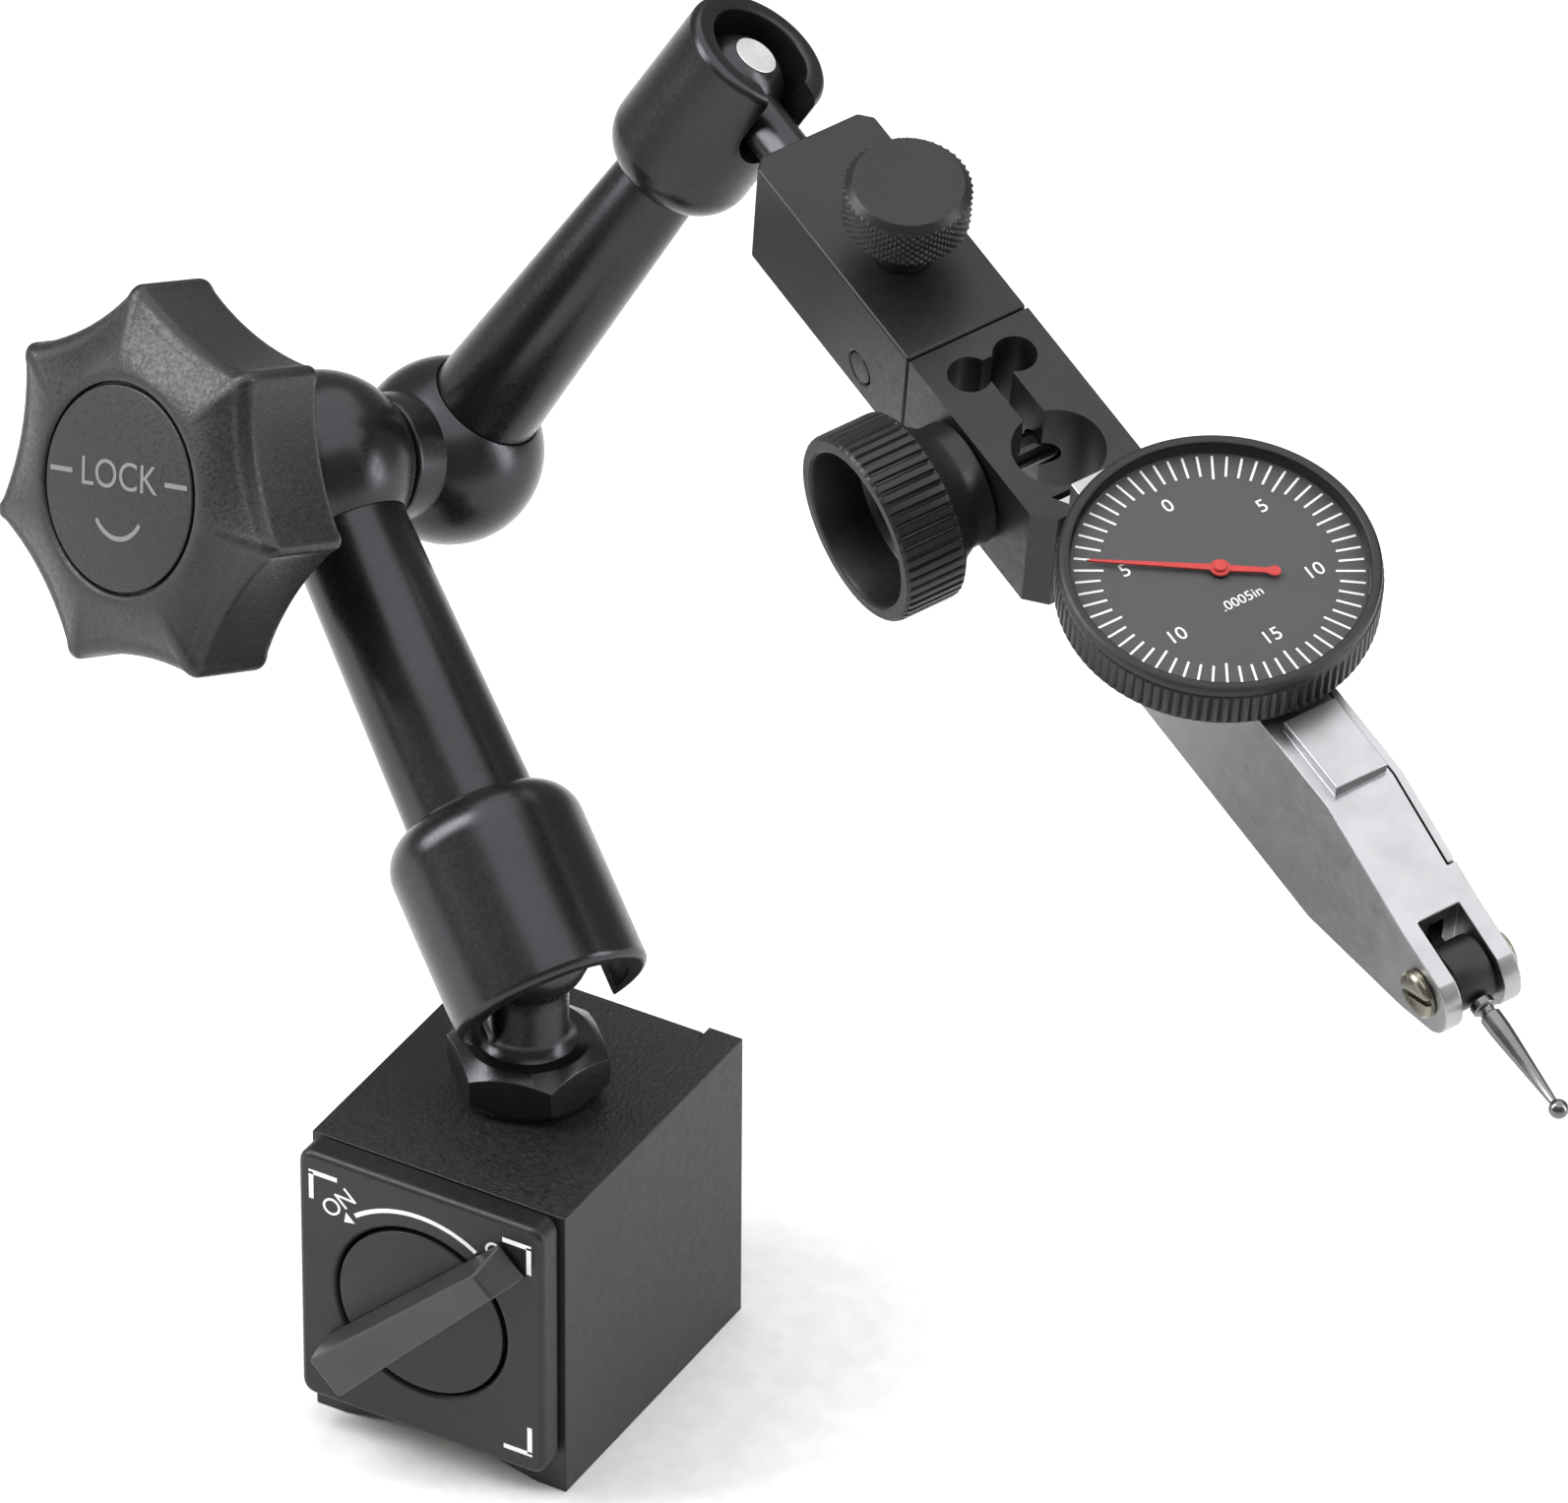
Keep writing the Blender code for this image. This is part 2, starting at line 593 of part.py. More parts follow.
def star(grow=0.0, points_per_lobe=6):
    """The knob's outline: lobes between round scallops, moved out or in by grow."""
    half = math.pi / KNOB_LOBES
    tip = (KNOB_TIP_RADIUS * math.cos(half), KNOB_TIP_RADIUS * math.sin(half))
    far = (tip[0] ** 2 + tip[1] ** 2 - KNOB_VALLEY_RADIUS ** 2) / (2 * (tip[0] - KNOB_VALLEY_RADIUS))
    bend = far - KNOB_VALLEY_RADIUS
    points = []
    for i in range(KNOB_LOBES * points_per_lobe):
        angle = 2 * math.pi * i / (KNOB_LOBES * points_per_lobe)
        from_valley = (angle % (2 * half)) - half
        reach = far * math.cos(from_valley) - math.sqrt(bend ** 2 - (far * math.sin(from_valley)) ** 2)
        reach += grow
        turn = angle + math.radians(KNOB_TIP_ANGLE)
        points.append((reach * math.cos(turn), reach * math.sin(turn)))
    return points


def ring_like(outline, radius):
    """A circle with a point at the same angle as each of the outline's points."""
    points = []
    for u, v in outline:
        reach = math.hypot(u, v)
        points.append((u / reach * radius, v / reach * radius))
    return points


def make_knob():
    outline = star()
    disc = KNOB_DISC_RADIUS + FIT
    rings = [
        (star(-3.0), KNOB_REAR), (star(-0.8), KNOB_REAR + 0.4), (outline, KNOB_REAR + 1.4),
        (outline, KNOB_RIM - 1.2), (star(-0.6), KNOB_RIM - 0.2), (star(-1.6), KNOB_RIM + 0.15),
        (ring_like(outline, disc + 0.8), KNOB_FACE), (ring_like(outline, disc), KNOB_FACE),
        (ring_like(outline, disc), KNOB_FACE - 1.0),
    ]
    knob = stacked("star_knob", rings, elbow_frame, PLASTIC)
    pocket = cylinder("insert_pocket", 4.9, KNOB_REAR - 1, 24.8, elbow_frame, PLASTIC)
    cut(knob, pocket)
    face = [(0, KNOB_FACE - 0.7), (KNOB_DISC_RADIUS, KNOB_FACE - 0.7), (KNOB_DISC_RADIUS, KNOB_FACE - 0.1),
        (0, KNOB_FACE - 0.1)]
    turned("knob_disc", face, elbow_frame, PLASTIC, segments=32)
    ring = BOLT_RADIUS + FIT
    insert = [(ring, KNOB_REAR), (4.6, KNOB_REAR), (4.6, 24.5), (ring, 24.5)]
    turned("knob_insert", insert, elbow_frame, BRASS, segments=24)


def make_upper_arm():
    shoulder = UPPER_CUP_RIM - UPPER_CUP_LENGTH
    cup("upper_cup", upper_frame, UPPER_CUP_RADIUS, UPPER_CUP_BORE, UPPER_CUP_RIM, shoulder, UPPER_LENGTH,
        UPPER_SLOT_WIDTH, UPPER_LENGTH + 0.2, 0, UPPER_TUBE_RADII[1] + FIT, ROD_BORE, -1)
    low = SOCKET_DEPTH + FIT
    tube("upper_tube", upper_frame, UPPER_TUBE_RADII, low, shoulder + 3.5 - FIT, ROD_BORE)
    seat_low = UPPER_LENGTH - 7.2
    inner = UPPER_BALL_RADIUS + 0.25
    seat = [(0, seat_low), (1.9, seat_low), (2.3, seat_low + 0.5)]
    seat += [(2.3, UPPER_LENGTH - math.sqrt(inner ** 2 - 2.3 ** 2))]
    seat += [(r, UPPER_LENGTH - (z - UPPER_LENGTH)) for r, z in sphere_arc(inner, 20, 0, 3, UPPER_LENGTH)]
    turned("upper_ball_seat", seat, upper_frame, BRASS, segments=20)
    rod = [(0, 5.1), (1.4, 5.1), (ROD_RADIUS, 6.2), (ROD_RADIUS, seat_low - FIT), (0, seat_low - FIT)]
    turned("upper_push_rod", rod, upper_frame, STEEL, segments=20)


# ---------------------------------------------------------------- head

def make_ball_stem():
    """Ball with a flat crown, and a stem along the bar's axis screwed into its rear face."""
    back = HEAD_BALL[0]
    neck = math.degrees(math.asin(STEM_RADIUS / UPPER_BALL_RADIUS))
    profile = [(0, back - UPPER_BALL_RADIUS)] + [(r, back - (z - back)) for r, z in
               sphere_arc(UPPER_BALL_RADIUS, 12, 180 - neck, 8, back)]
    profile += [(STEM_RADIUS, BAR_REAR + 5.0), (0, BAR_REAR + 5.0)]
    turned("head_ball_stem", profile, head_frame, SATIN_BLACK, "X", (0.0, BAR_MIDDLE), 20)


def side_outline(points):
    """(l, h) points as the (h, l) pairs that an outline across the bar takes."""
    return [(h, l) for l, h in points]


def make_rear_block():
    half = BAR_HALF_WIDTH
    rear = BAR_REAR + BAR_CHAMFER
    seam = BAR_SEAM - FIT / 2
    outline = [(rear, -half), (seam, -half), (seam, half), (rear, half)]
    outline += [(BAR_REAR, half - BAR_CHAMFER), (BAR_REAR, -half + BAR_CHAMFER)]
    bar = prism("rear_block", outline, BAR_BOTTOM, BAR_TOP, head_frame, ANODISED)
    bevelled(bar, 0.4, 2, 60)
    gap = TONGUE_HALF_WIDTH + FIT
    slot = block("tongue_slot", (TONGUE_REAR - 1, -gap, BAR_BOTTOM - 1),
        (BAR_SEAM + 1, gap, TONGUE_TOP + 1), head_frame, ANODISED)
    pin = cylinder("pin_hole", PIN_RADIUS + 0.15, -8, 8, head_frame, ANODISED, "Y", (PIVOT[1], PIVOT[0]), 24)
    screw = cylinder("screw_hole", 1.8, TONGUE_TOP, BAR_TOP + 1, head_frame, ANODISED, "Z",
        (SCREW_PLACE, 0), 20)
    spring = cylinder("spring_pocket", 1.7, TONGUE_TOP, -12.2, head_frame, ANODISED, "Z",
        (SPRING_PLACE, 0), 20)
    stem = cylinder("stem_hole", STEM_RADIUS + FIT, BAR_REAR - 1, BAR_REAR + 5.4, head_frame, ANODISED,
        "X", (0, BAR_MIDDLE), 28)
    cut(bar, slot, pin, screw, spring, stem)
    cylinder("pivot_pin", PIN_RADIUS, -6.9, 6.9, head_frame, STEEL, "Y", (PIVOT[1], PIVOT[0]), 24)


def make_return_spring():
    """A short compression spring above the tongue, drawn as one round wire on a helix."""
    turns = 4
    per_turn = 10
    wire = 0.28
    low = TONGUE_TOP + 0.35 + wire
    high = -12.2 - 0.3 - wire
    curve = bpy.data.curves.new("return_spring", "CURVE")
    curve.dimensions = "3D"
    curve.bevel_depth = wire * MM
    curve.bevel_resolution = 0
    curve.use_fill_caps = True
    spline = curve.splines.new("POLY")
    spline.points.add(turns * per_turn)
    for i, point in enumerate(spline.points):
        angle = 2 * math.pi * i / per_turn
        height = low + (high - low) * i / (turns * per_turn)
        x = SPRING_PLACE + 1.15 * math.cos(angle)
        point.co = (x * MM, 1.15 * math.sin(angle) * MM, height * MM, 1)
    curve.materials.append(STEEL)
    obj = bpy.data.objects.new("return_spring", curve)
    bpy.context.collection.objects.link(obj)
    obj.parent = head_frame


def make_fine_screw():
    frame = empty("fine_screw_axis", head_frame.matrix_world @ Matrix.Translation((SCREW_PLACE * MM, 0, 0)))
    rim = THUMB_RADIUS
    base = -THUMB_THICKNESS
    foot = BAR_TOP + FIT
    profile = [(0, TONGUE_TOP + FIT), (1.5, TONGUE_TOP + FIT), (1.5, foot), (3.0, foot), (3.0, base)]
    profile += [(rim - 0.7, base), (rim, base + 0.6), (rim, -0.5), (rim - 0.5, 0), (0, 0)]
    turned("fine_adjust_screw", profile, frame, ANODISED)


def make_front_block():
    half = BAR_HALF_WIDTH
    low = (BAR_SEAM + FIT / 2, -half, BAR_BOTTOM)
    high = (BAR_FRONT, half, BAR_TOP)
    chamfer = 2.0
    outline = [(low[0], -half), (high[0] - chamfer, -half), (high[0], -half + chamfer)]
    outline += [(high[0], half - chamfer), (high[0] - chamfer, half), (low[0], half)]
    bar = bevelled(prism("front_block", outline, BAR_BOTTOM, BAR_TOP, head_frame, ANODISED), 0.4, 2, 50)
    tongue = block("tongue", (TONGUE_REAR, -TONGUE_HALF_WIDTH, BAR_BOTTOM + 0.3),
                   (low[0] + 1, TONGUE_HALF_WIDTH, TONGUE_TOP), head_frame, ANODISED)
    join(bar, tongue)
    pin = cylinder("tongue_hole", PIN_RADIUS + 0.12, -5, 5, head_frame, ANODISED, "Y",
        (PIVOT[1], PIVOT[0]), 24)
    cut(bar, pin)
    below = BAR_BOTTOM - 1
    above = BAR_TOP + 1
    place, offset, radius = SMALL_HOLE
    for name, side in (("small_hole_left", 1), ("small_hole_right", -1)):
        cut(bar, cylinder(name, radius, below, above, head_frame, ANODISED, "Z", (place, side * offset), 20))
    slit = SLIT_WIDTH / 2
    cross = block("cross_slot", (place - slit * 0.7, -offset, below), (place + slit * 0.7, offset, above),
        head_frame, ANODISED)
    long_slit = block("clamp_slit", (place, -slit, below), (BAR_FRONT + 1, slit, above), head_frame, ANODISED)
    big = cylinder("big_hole", BIG_HOLE[1], below, above, head_frame, ANODISED, "Z", (BIG_HOLE[0], 0), 28)
    screw = cylinder("clamp_hole", CLAMP_SCREW_RADIUS + FIT, -half - 1, 6.2, head_frame, ANODISED, "Y",
        (BAR_MIDDLE, CLAMP_PLACE), 24)
    mouth = [(BAR_FRONT + 1, -2.4), (BAR_FRONT + 1, 2.4), (BAR_FRONT - 0.2, 2.4), (BAR_FRONT - 2.7, 4.0)]
    mouth += [(BAR_FRONT - 2.7, -4.0), (BAR_FRONT - 0.2, -2.4)]
    dovetail = prism("dovetail_groove", mouth, below, above, head_frame, ANODISED)
    cut(bar, cross, long_slit, big, screw, dovetail)


def make_clamp_knob():
    """A deep hollow knob on its screw, which draws the two jaws of the front block together."""
    centre = Matrix.Translation((CLAMP_PLACE * MM, 0, BAR_MIDDLE * MM))
    frame = empty("clamp_axis", head_frame.matrix_world @ centre)
    face = -BAR_HALF_WIDTH - FIT
    back = CLAMP_RIM + 7.0
    bore = CLAMP_SCREW_RADIUS + FIT
    profile = [(bore, face), (6.5, face), (6.5, face - 2.2), (7.4, back + 1.6), (CLAMP_RADIUS - 0.4, back)]
    profile += [(CLAMP_RADIUS, back - 0.5), (CLAMP_RADIUS, CLAMP_RIM + 0.6), (CLAMP_RADIUS - 0.5, CLAMP_RIM)]
    profile += [(8.5, CLAMP_RIM), (8.2, CLAMP_RIM + 0.4), (8.0, back - 0.9), (3.4, back - 0.9)]
    profile += [(3.4, back - 2.4), (bore, back - 2.4)]
    turned("clamp_knob", profile, frame, ANODISED, "Y")
    low = back - 2.1
    profile = [(0, low), (CLAMP_SCREW_RADIUS, low), (CLAMP_SCREW_RADIUS, 5.9), (0, 5.9)]
    turned("clamp_screw", profile, frame, STEEL, "Y", segments=20)


# ---------------------------------------------------------------- indicator

def body_outline(inset, rear, front):
    """The indicator's side view in (l, h), from its rear face to its fork."""
    top = BODY_TOP - inset
    bottom = BODY_BOTTOM + inset
    if front < LEVER_PIVOT[0]:
        slope = (front - 26.2) * (9.3 - 4.9) / (39.9 - 26.2)
        rise = (front - 25.5) * 4.0 / 16.3
        return [(rear, top), (rear, bottom), (25.5, bottom), (front, bottom + rise), (front, top - slope),
            (26.2, top)]
    points = [(rear, top), (rear, bottom), (25.5, bottom), (41.0, -19.7)]
    points += arc(4.1, -62, 62, 8, (LEVER_PIVOT[0] + 0.2, LEVER_PIVOT[1] - 0.2))
    points += [(39.9, -9.3), (26.2, top)]
    return points


def make_indicator_body():
    half = BODY_HALF_WIDTH
    body = prism("indicator_body", side_outline(body_outline(0, BODY_REAR, 48.0)), -half, half, head_frame,
        CHROME, "Y")
    bevelled(body, 0.3, 2, 25)
    tail = [(BODY_REAR + 1, -2.0), (BODY_REAR + 1, 2.0), (BAR_FRONT - 0.1, 2.0), (BAR_FRONT - 2.3, 3.5)]
    tail += [(BAR_FRONT - 2.3, -3.5), (BAR_FRONT - 0.1, -2.0)]
    join(body, prism("dovetail", tail, BODY_BOTTOM + 0.3, BAR_TOP - 0.3, head_frame, CHROME))
    tab = block("tab", (BEZEL_RADIUS + FIT, -2.95, BODY_TOP - 1), (25.6, 2.95, -3.6), head_frame, CHROME)
    join(body, bevelled(tab, 0.15, 1))
    pocket = side_outline(body_outline(-1.0, -17.0, COVER_FRONT))
    cover_room = prism("cover_room", pocket, half - COVER_THICKNESS - FIT, half + 1, head_frame, CHROME, "Y")
    room = [(-14.0, -8.2), (-14.0, -20.5), (20.0, -20.5), (33.5, -18.6), (33.5, -10.4), (25.0, -8.2)]
    cavity = prism("movement_room", side_outline(room), -3.2, half + 1, head_frame, CHROME, "Y")
    passage = block("lever_passage", (30, -0.9, -17.6), (41, 0.9, -10.8), head_frame, CHROME)
    fork = block("fork_gap", (FORK_START, -FORK_HALF_GAP, -25), (52, FORK_HALF_GAP, 0), head_frame, CHROME)
    screws = cylinder("pivot_holes", 1.5, -8, 8, head_frame, CHROME, "Y", (LEVER_PIVOT[1], LEVER_PIVOT[0]),
        20)
    arbor = cylinder("arbor_hole", 1.9, -9, -4, head_frame, CHROME, "Z", (0, 0), 20)
    cut(body, cover_room, cavity, passage, fork, screws, arbor)
    cover = side_outline(body_outline(0.1, -16.7, COVER_FRONT - FIT))
    plate = prism("body_cover", cover, half - COVER_THICKNESS, half, head_frame, CHROME, "Y")
    bevelled(plate, 0.15, 1)
    for name, side in (("pivot_screw_left", 1), ("pivot_screw_right", -1)):
        make_pivot_screw(name, side)


def make_pivot_screw(name, side):
    face = BODY_HALF_WIDTH + 0.1
    head = face + 0.9
    tip = 1.9
    profile = [(0, tip - 0.6), (1.1, tip), (1.2, face), (2.5, face), (2.5, head - 0.25), (2.25, head),
        (0, head)]
    profile = [(r, side * z) for r, z in profile]
    centre = (LEVER_PIVOT[1], LEVER_PIVOT[0])
    screw = turned(name, profile, head_frame, BRASS, "Y", centre, 24)
    low = side * (head - 0.5) if side > 0 else side * (head + 1)
    high = side * (head + 1) if side > 0 else side * (head - 0.5)
    l, h = LEVER_PIVOT
    slot = block(name + "_slot", (l - 3, low, h - 0.3), (l + 3, high, h + 0.3), head_frame, BRASS)
    cut(screw, slot)


def make_dial():
    bore = BEZEL_BORE
    rim = BEZEL_RADIUS
    bezel = [(bore, BEZEL_BOTTOM), (rim - 0.5, BEZEL_BOTTOM), (rim, BEZEL_BOTTOM + 0.5),
        (rim, BEZEL_TOP - 0.9)]
    bezel += [(rim - 0.4, BEZEL_TOP - 0.3), (rim - 0.6, BEZEL_TOP), (bore + 0.2, BEZEL_TOP),
        (bore, BEZEL_TOP - 0.4)]
    turned("bezel", bezel, head_frame, ANODISED, segments=36)
    disc = DIAL_RADIUS
    turned("dial_face", [(1.0, -0.4), (disc, -0.4), (disc, 0), (1.0, 0)], head_frame, DIAL_BLACK, segments=28)
    glass = [(0, 0.95), (disc, 0.95), (disc, 1.35), (0, 1.35)]
    turned("crystal", glass, head_frame, GLASS, segments=28)
    case = [(1.9, BODY_TOP + FIT), (disc, BODY_TOP + FIT), (disc, -0.7), (1.9, -0.7)]
    turned("dial_case", case, head_frame, CHROME, segments=24)
    arbor = [(0, 0.75), (0.45, 0.75), (0.45, -8.3), (POINTER_PINION_RADIUS, -8.3),
        (POINTER_PINION_RADIUS, -8.9)]
    arbor += [(0.45, -8.9), (0.45, -9.4), (0, -9.4)]
    turned("pointer_arbor", arbor, head_frame, STEEL, segments=20)
    jewel = [(0.6, -7.0), (1.6, -7.0), (1.6, -6.1), (0.6, -6.1)]
    turned("arbor_jewel", jewel, head_frame, JEWEL, segments=20)
    make_pointer()


def make_pointer():
    """A red hand: round hub, tapered blade, and a short tail with a spoon end."""
    blade = 13.0
    tail = 5.3
    outline = [(blade, 0.0), (blade - 0.6, 0.16), (1.0, 0.42)]
    outline += arc(1.0, 25, 155, 5)
    outline += [(-tail + 0.9, 0.32)] + arc(0.6, 55, 305, 6, (-tail, 0.0))
    outline += [(-tail + 0.9, -0.32)] + arc(1.0, 205, 335, 5) + [(1.0, -0.42), (blade - 0.6, -0.16)]
    pointer = prism("pointer", rotated(outline, math.radians(POINTER_ANGLE)), 0.3, 0.6, head_frame, RED)
    hole = cylinder("pointer_hole", 0.6, 0, 1, head_frame, RED, segments=16)
    cut(pointer, hole)


def make_movement():
    """Lever, crown wheel and arbor: the lever's sector turns the crown wheel, which turns the pointer."""
    l, h = LEVER_PIVOT
    frame = empty("lever_axis", head_frame.matrix_world @ Matrix.Translation((l * MM, 0, h * MM)))
    profile = [(1.4, -2.1), (HUB_RADIUS - 0.2, -2.1), (HUB_RADIUS, -1.9), (HUB_RADIUS, 1.9)]
    profile += [(HUB_RADIUS - 0.2, 2.1), (1.4, 2.1)]
    hub = turned("lever_hub", profile, frame, ANODISED, "Y", segments=24)
    sector = l - SECTOR_PINION_RADIUS - FIT
    outline = [(-2.5, 1.0), (-sector + 1.5, 0.7), (-sector + 1.0, 2.6)]
    outline += arc(sector, 176.6, 183.4, 4) + [(-sector + 1.0, -2.6), (-sector + 1.5, -0.7), (-2.5, -1.0)]
    join(hub, prism("sector_arm", side_outline(outline), -0.5, 0.5, frame, STEEL, "Y"))
    wheel = empty("crown_axis", head_frame.matrix_world @ Matrix.Translation((0, 0, h * MM)))
    gear = [(0, -1.2), (SECTOR_PINION_RADIUS, -1.2), (SECTOR_PINION_RADIUS, 1.0), (0.5, 1.0), (0.5, 1.7)]
    gear += [(CROWN_RADIUS - 0.8, 1.7), (CROWN_RADIUS - 0.8, 1.4), (CROWN_RADIUS, 1.4), (CROWN_RADIUS, 2.4)]
    gear += [(0.5, 2.4), (0.5, 2.9), (0, 2.9)]
    turned("crown_wheel", gear, wheel, BRASS, "Y", segments=18)


def make_stylus():
    """The contact lever: collar, flat, tapered shank and ball, drawn along its own axis."""
    l, h = LEVER_PIVOT
    turn = Matrix.Rotation(math.radians(90 + STYLUS_DROP), 4, "Y")
    frame = empty("stylus_axis", head_frame.matrix_world @ Matrix.Translation((l * MM, 0, h * MM)) @ turn)
    tip = STYLUS_LENGTH
    ball = STYLUS_BALL_RADIUS
    thin = 0.42
    join_angle = math.degrees(math.asin(thin / ball))
    profile = [(0, HUB_RADIUS + FIT), (1.25, HUB_RADIUS + FIT), (1.25, 4.6), (0.8, 4.8), (0.8, 5.3),
        (1.1, 5.5)]
    profile += [(1.1, 7.0), (thin, tip - ball * math.cos(math.radians(join_angle)))]
    profile += [(r, tip - (z - tip)) for r, z in sphere_arc(ball, join_angle + 15, 165, 5, tip)]
    profile.append((0, tip + ball))
    turned("stylus", profile, frame, STEEL, segments=14)


make_base_parts()
make_switch()
make_ball_stud()
make_lower_arm()
make_elbow()
make_knob()
make_upper_arm()
make_ball_stem()
make_rear_block()
make_return_spring()
make_fine_screw()
make_front_block()
make_clamp_knob()
make_indicator_body()
make_dial()
make_movement()
make_stylus()
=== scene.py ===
"""Looks of the dial test indicator on its articulated magnetic base.

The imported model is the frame. Lengths below are in millimetres; every mesh is put in its place in
metres as it is made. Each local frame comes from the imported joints: the elbow's Z is the clamping
axis, each arm's Z is its own axis, and the head's X, Y and Z run along the bar, across it and out
of the dial.
"""

import json
import math

import bmesh
import bpy
from mathutils import Matrix, Vector

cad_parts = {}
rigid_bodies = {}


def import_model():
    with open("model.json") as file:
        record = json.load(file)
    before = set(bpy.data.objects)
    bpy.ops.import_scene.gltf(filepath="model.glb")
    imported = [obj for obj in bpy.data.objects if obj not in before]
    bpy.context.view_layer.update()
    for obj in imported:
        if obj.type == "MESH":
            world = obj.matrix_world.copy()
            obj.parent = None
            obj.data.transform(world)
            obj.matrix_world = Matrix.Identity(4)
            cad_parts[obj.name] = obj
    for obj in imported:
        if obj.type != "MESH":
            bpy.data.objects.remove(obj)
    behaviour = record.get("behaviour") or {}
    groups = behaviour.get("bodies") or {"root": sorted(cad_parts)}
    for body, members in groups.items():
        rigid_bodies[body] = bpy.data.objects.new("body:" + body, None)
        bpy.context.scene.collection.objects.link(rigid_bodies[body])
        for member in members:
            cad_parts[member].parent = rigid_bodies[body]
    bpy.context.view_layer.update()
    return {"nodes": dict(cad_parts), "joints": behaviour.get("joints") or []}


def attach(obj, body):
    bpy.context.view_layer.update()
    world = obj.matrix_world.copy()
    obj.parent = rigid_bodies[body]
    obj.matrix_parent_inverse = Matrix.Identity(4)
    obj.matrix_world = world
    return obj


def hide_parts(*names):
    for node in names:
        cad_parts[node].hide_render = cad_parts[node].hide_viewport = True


MM = 0.001
FIT = 0.3  # gap between two pieces that touch
PRINT = 0.03  # thickness of printed marks and lettering

BASE_HEIGHT = 35.0
BASE_DEPTH = 36.0
PLATE_FACE = 21.7  # front of the plate and the switch, forward of the rotor's axis
PLATE_BACK = 18.3
ROTOR_BORE = 10.0
STUD_BALL = 6.75
TUBE_BORE = 2.8
ELBOW_BALL = 9.9
BAR_TOP = -10.9
BAR_BOTTOM = -24.5
BAR_MIDDLE = -17.7
FINE_SCREW = -56.4  # along the bar, from the dial's axis
ROCK_PIN = (-20.9, -52.5)  # height and place along the bar
LEVER_PIVOT = (-14.0, 44.0)
CASE_TOP = -4.9
CASE_BOTTOM = -23.5

for start_object in list(bpy.data.objects):
    bpy.data.objects.remove(start_object, do_unlink=True)
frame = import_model()
JOINTS = {joint["name"]: joint for joint in frame["joints"]}


# ---------------------------------------------------------------- local frames

def joint_point(name):
    return Vector(JOINTS[name]["pos_m"])


def joint_axis(name):
    return Vector(JOINTS[name]["axis"]).normalized()


def place(origin, x_axis, z_axis):
    """A matrix with its Z along z_axis and its X as near x_axis as that allows."""
    z = Vector(z_axis).normalized()
    x = Vector(x_axis)
    x = (x - z * x.dot(z)).normalized()
    matrix = Matrix((x, z.cross(x), z)).transposed().to_4x4()
    matrix.translation = origin
    return matrix


def shifted(matrix, x=0.0, y=0.0, z=0.0):
    return matrix @ Matrix.Translation((x * MM, y * MM, z * MM))


LOWER_LENGTH = (joint_point("elbow") - joint_point("lower_tilt")).length / MM
UPPER_LENGTH = 57.1
ELBOW_SPACING = 19.05
LOWER_AXIS = joint_axis("lower_twist")
UPPER_AXIS = joint_axis("head_twist")
BAR_AXIS = joint_axis("head_roll")
UPPER_ELBOW = joint_point("head_twist") - UPPER_AXIS * UPPER_LENGTH * MM
SWITCH_HEIGHT = JOINTS["switch_turn"]["pos_m"][2] / MM
BALL_HEIGHT = JOINTS["lower_swivel"]["pos_m"][2] / MM

WORLD = Matrix.Identity(4)
SWITCH = place(joint_point("switch_turn"), (1, 0, 0), (0, -1, 0))
LOWER = place(joint_point("lower_tilt"), (0, 0, -1), LOWER_AXIS)
ELBOW = place(joint_point("elbow"), LOWER_AXIS, joint_axis("knob_turn"))
UPPER = place(UPPER_ELBOW, BAR_AXIS, UPPER_AXIS)
HEAD = place(joint_point("bezel_turn"), BAR_AXIS, joint_axis("bezel_turn"))


# ---------------------------------------------------------------- materials

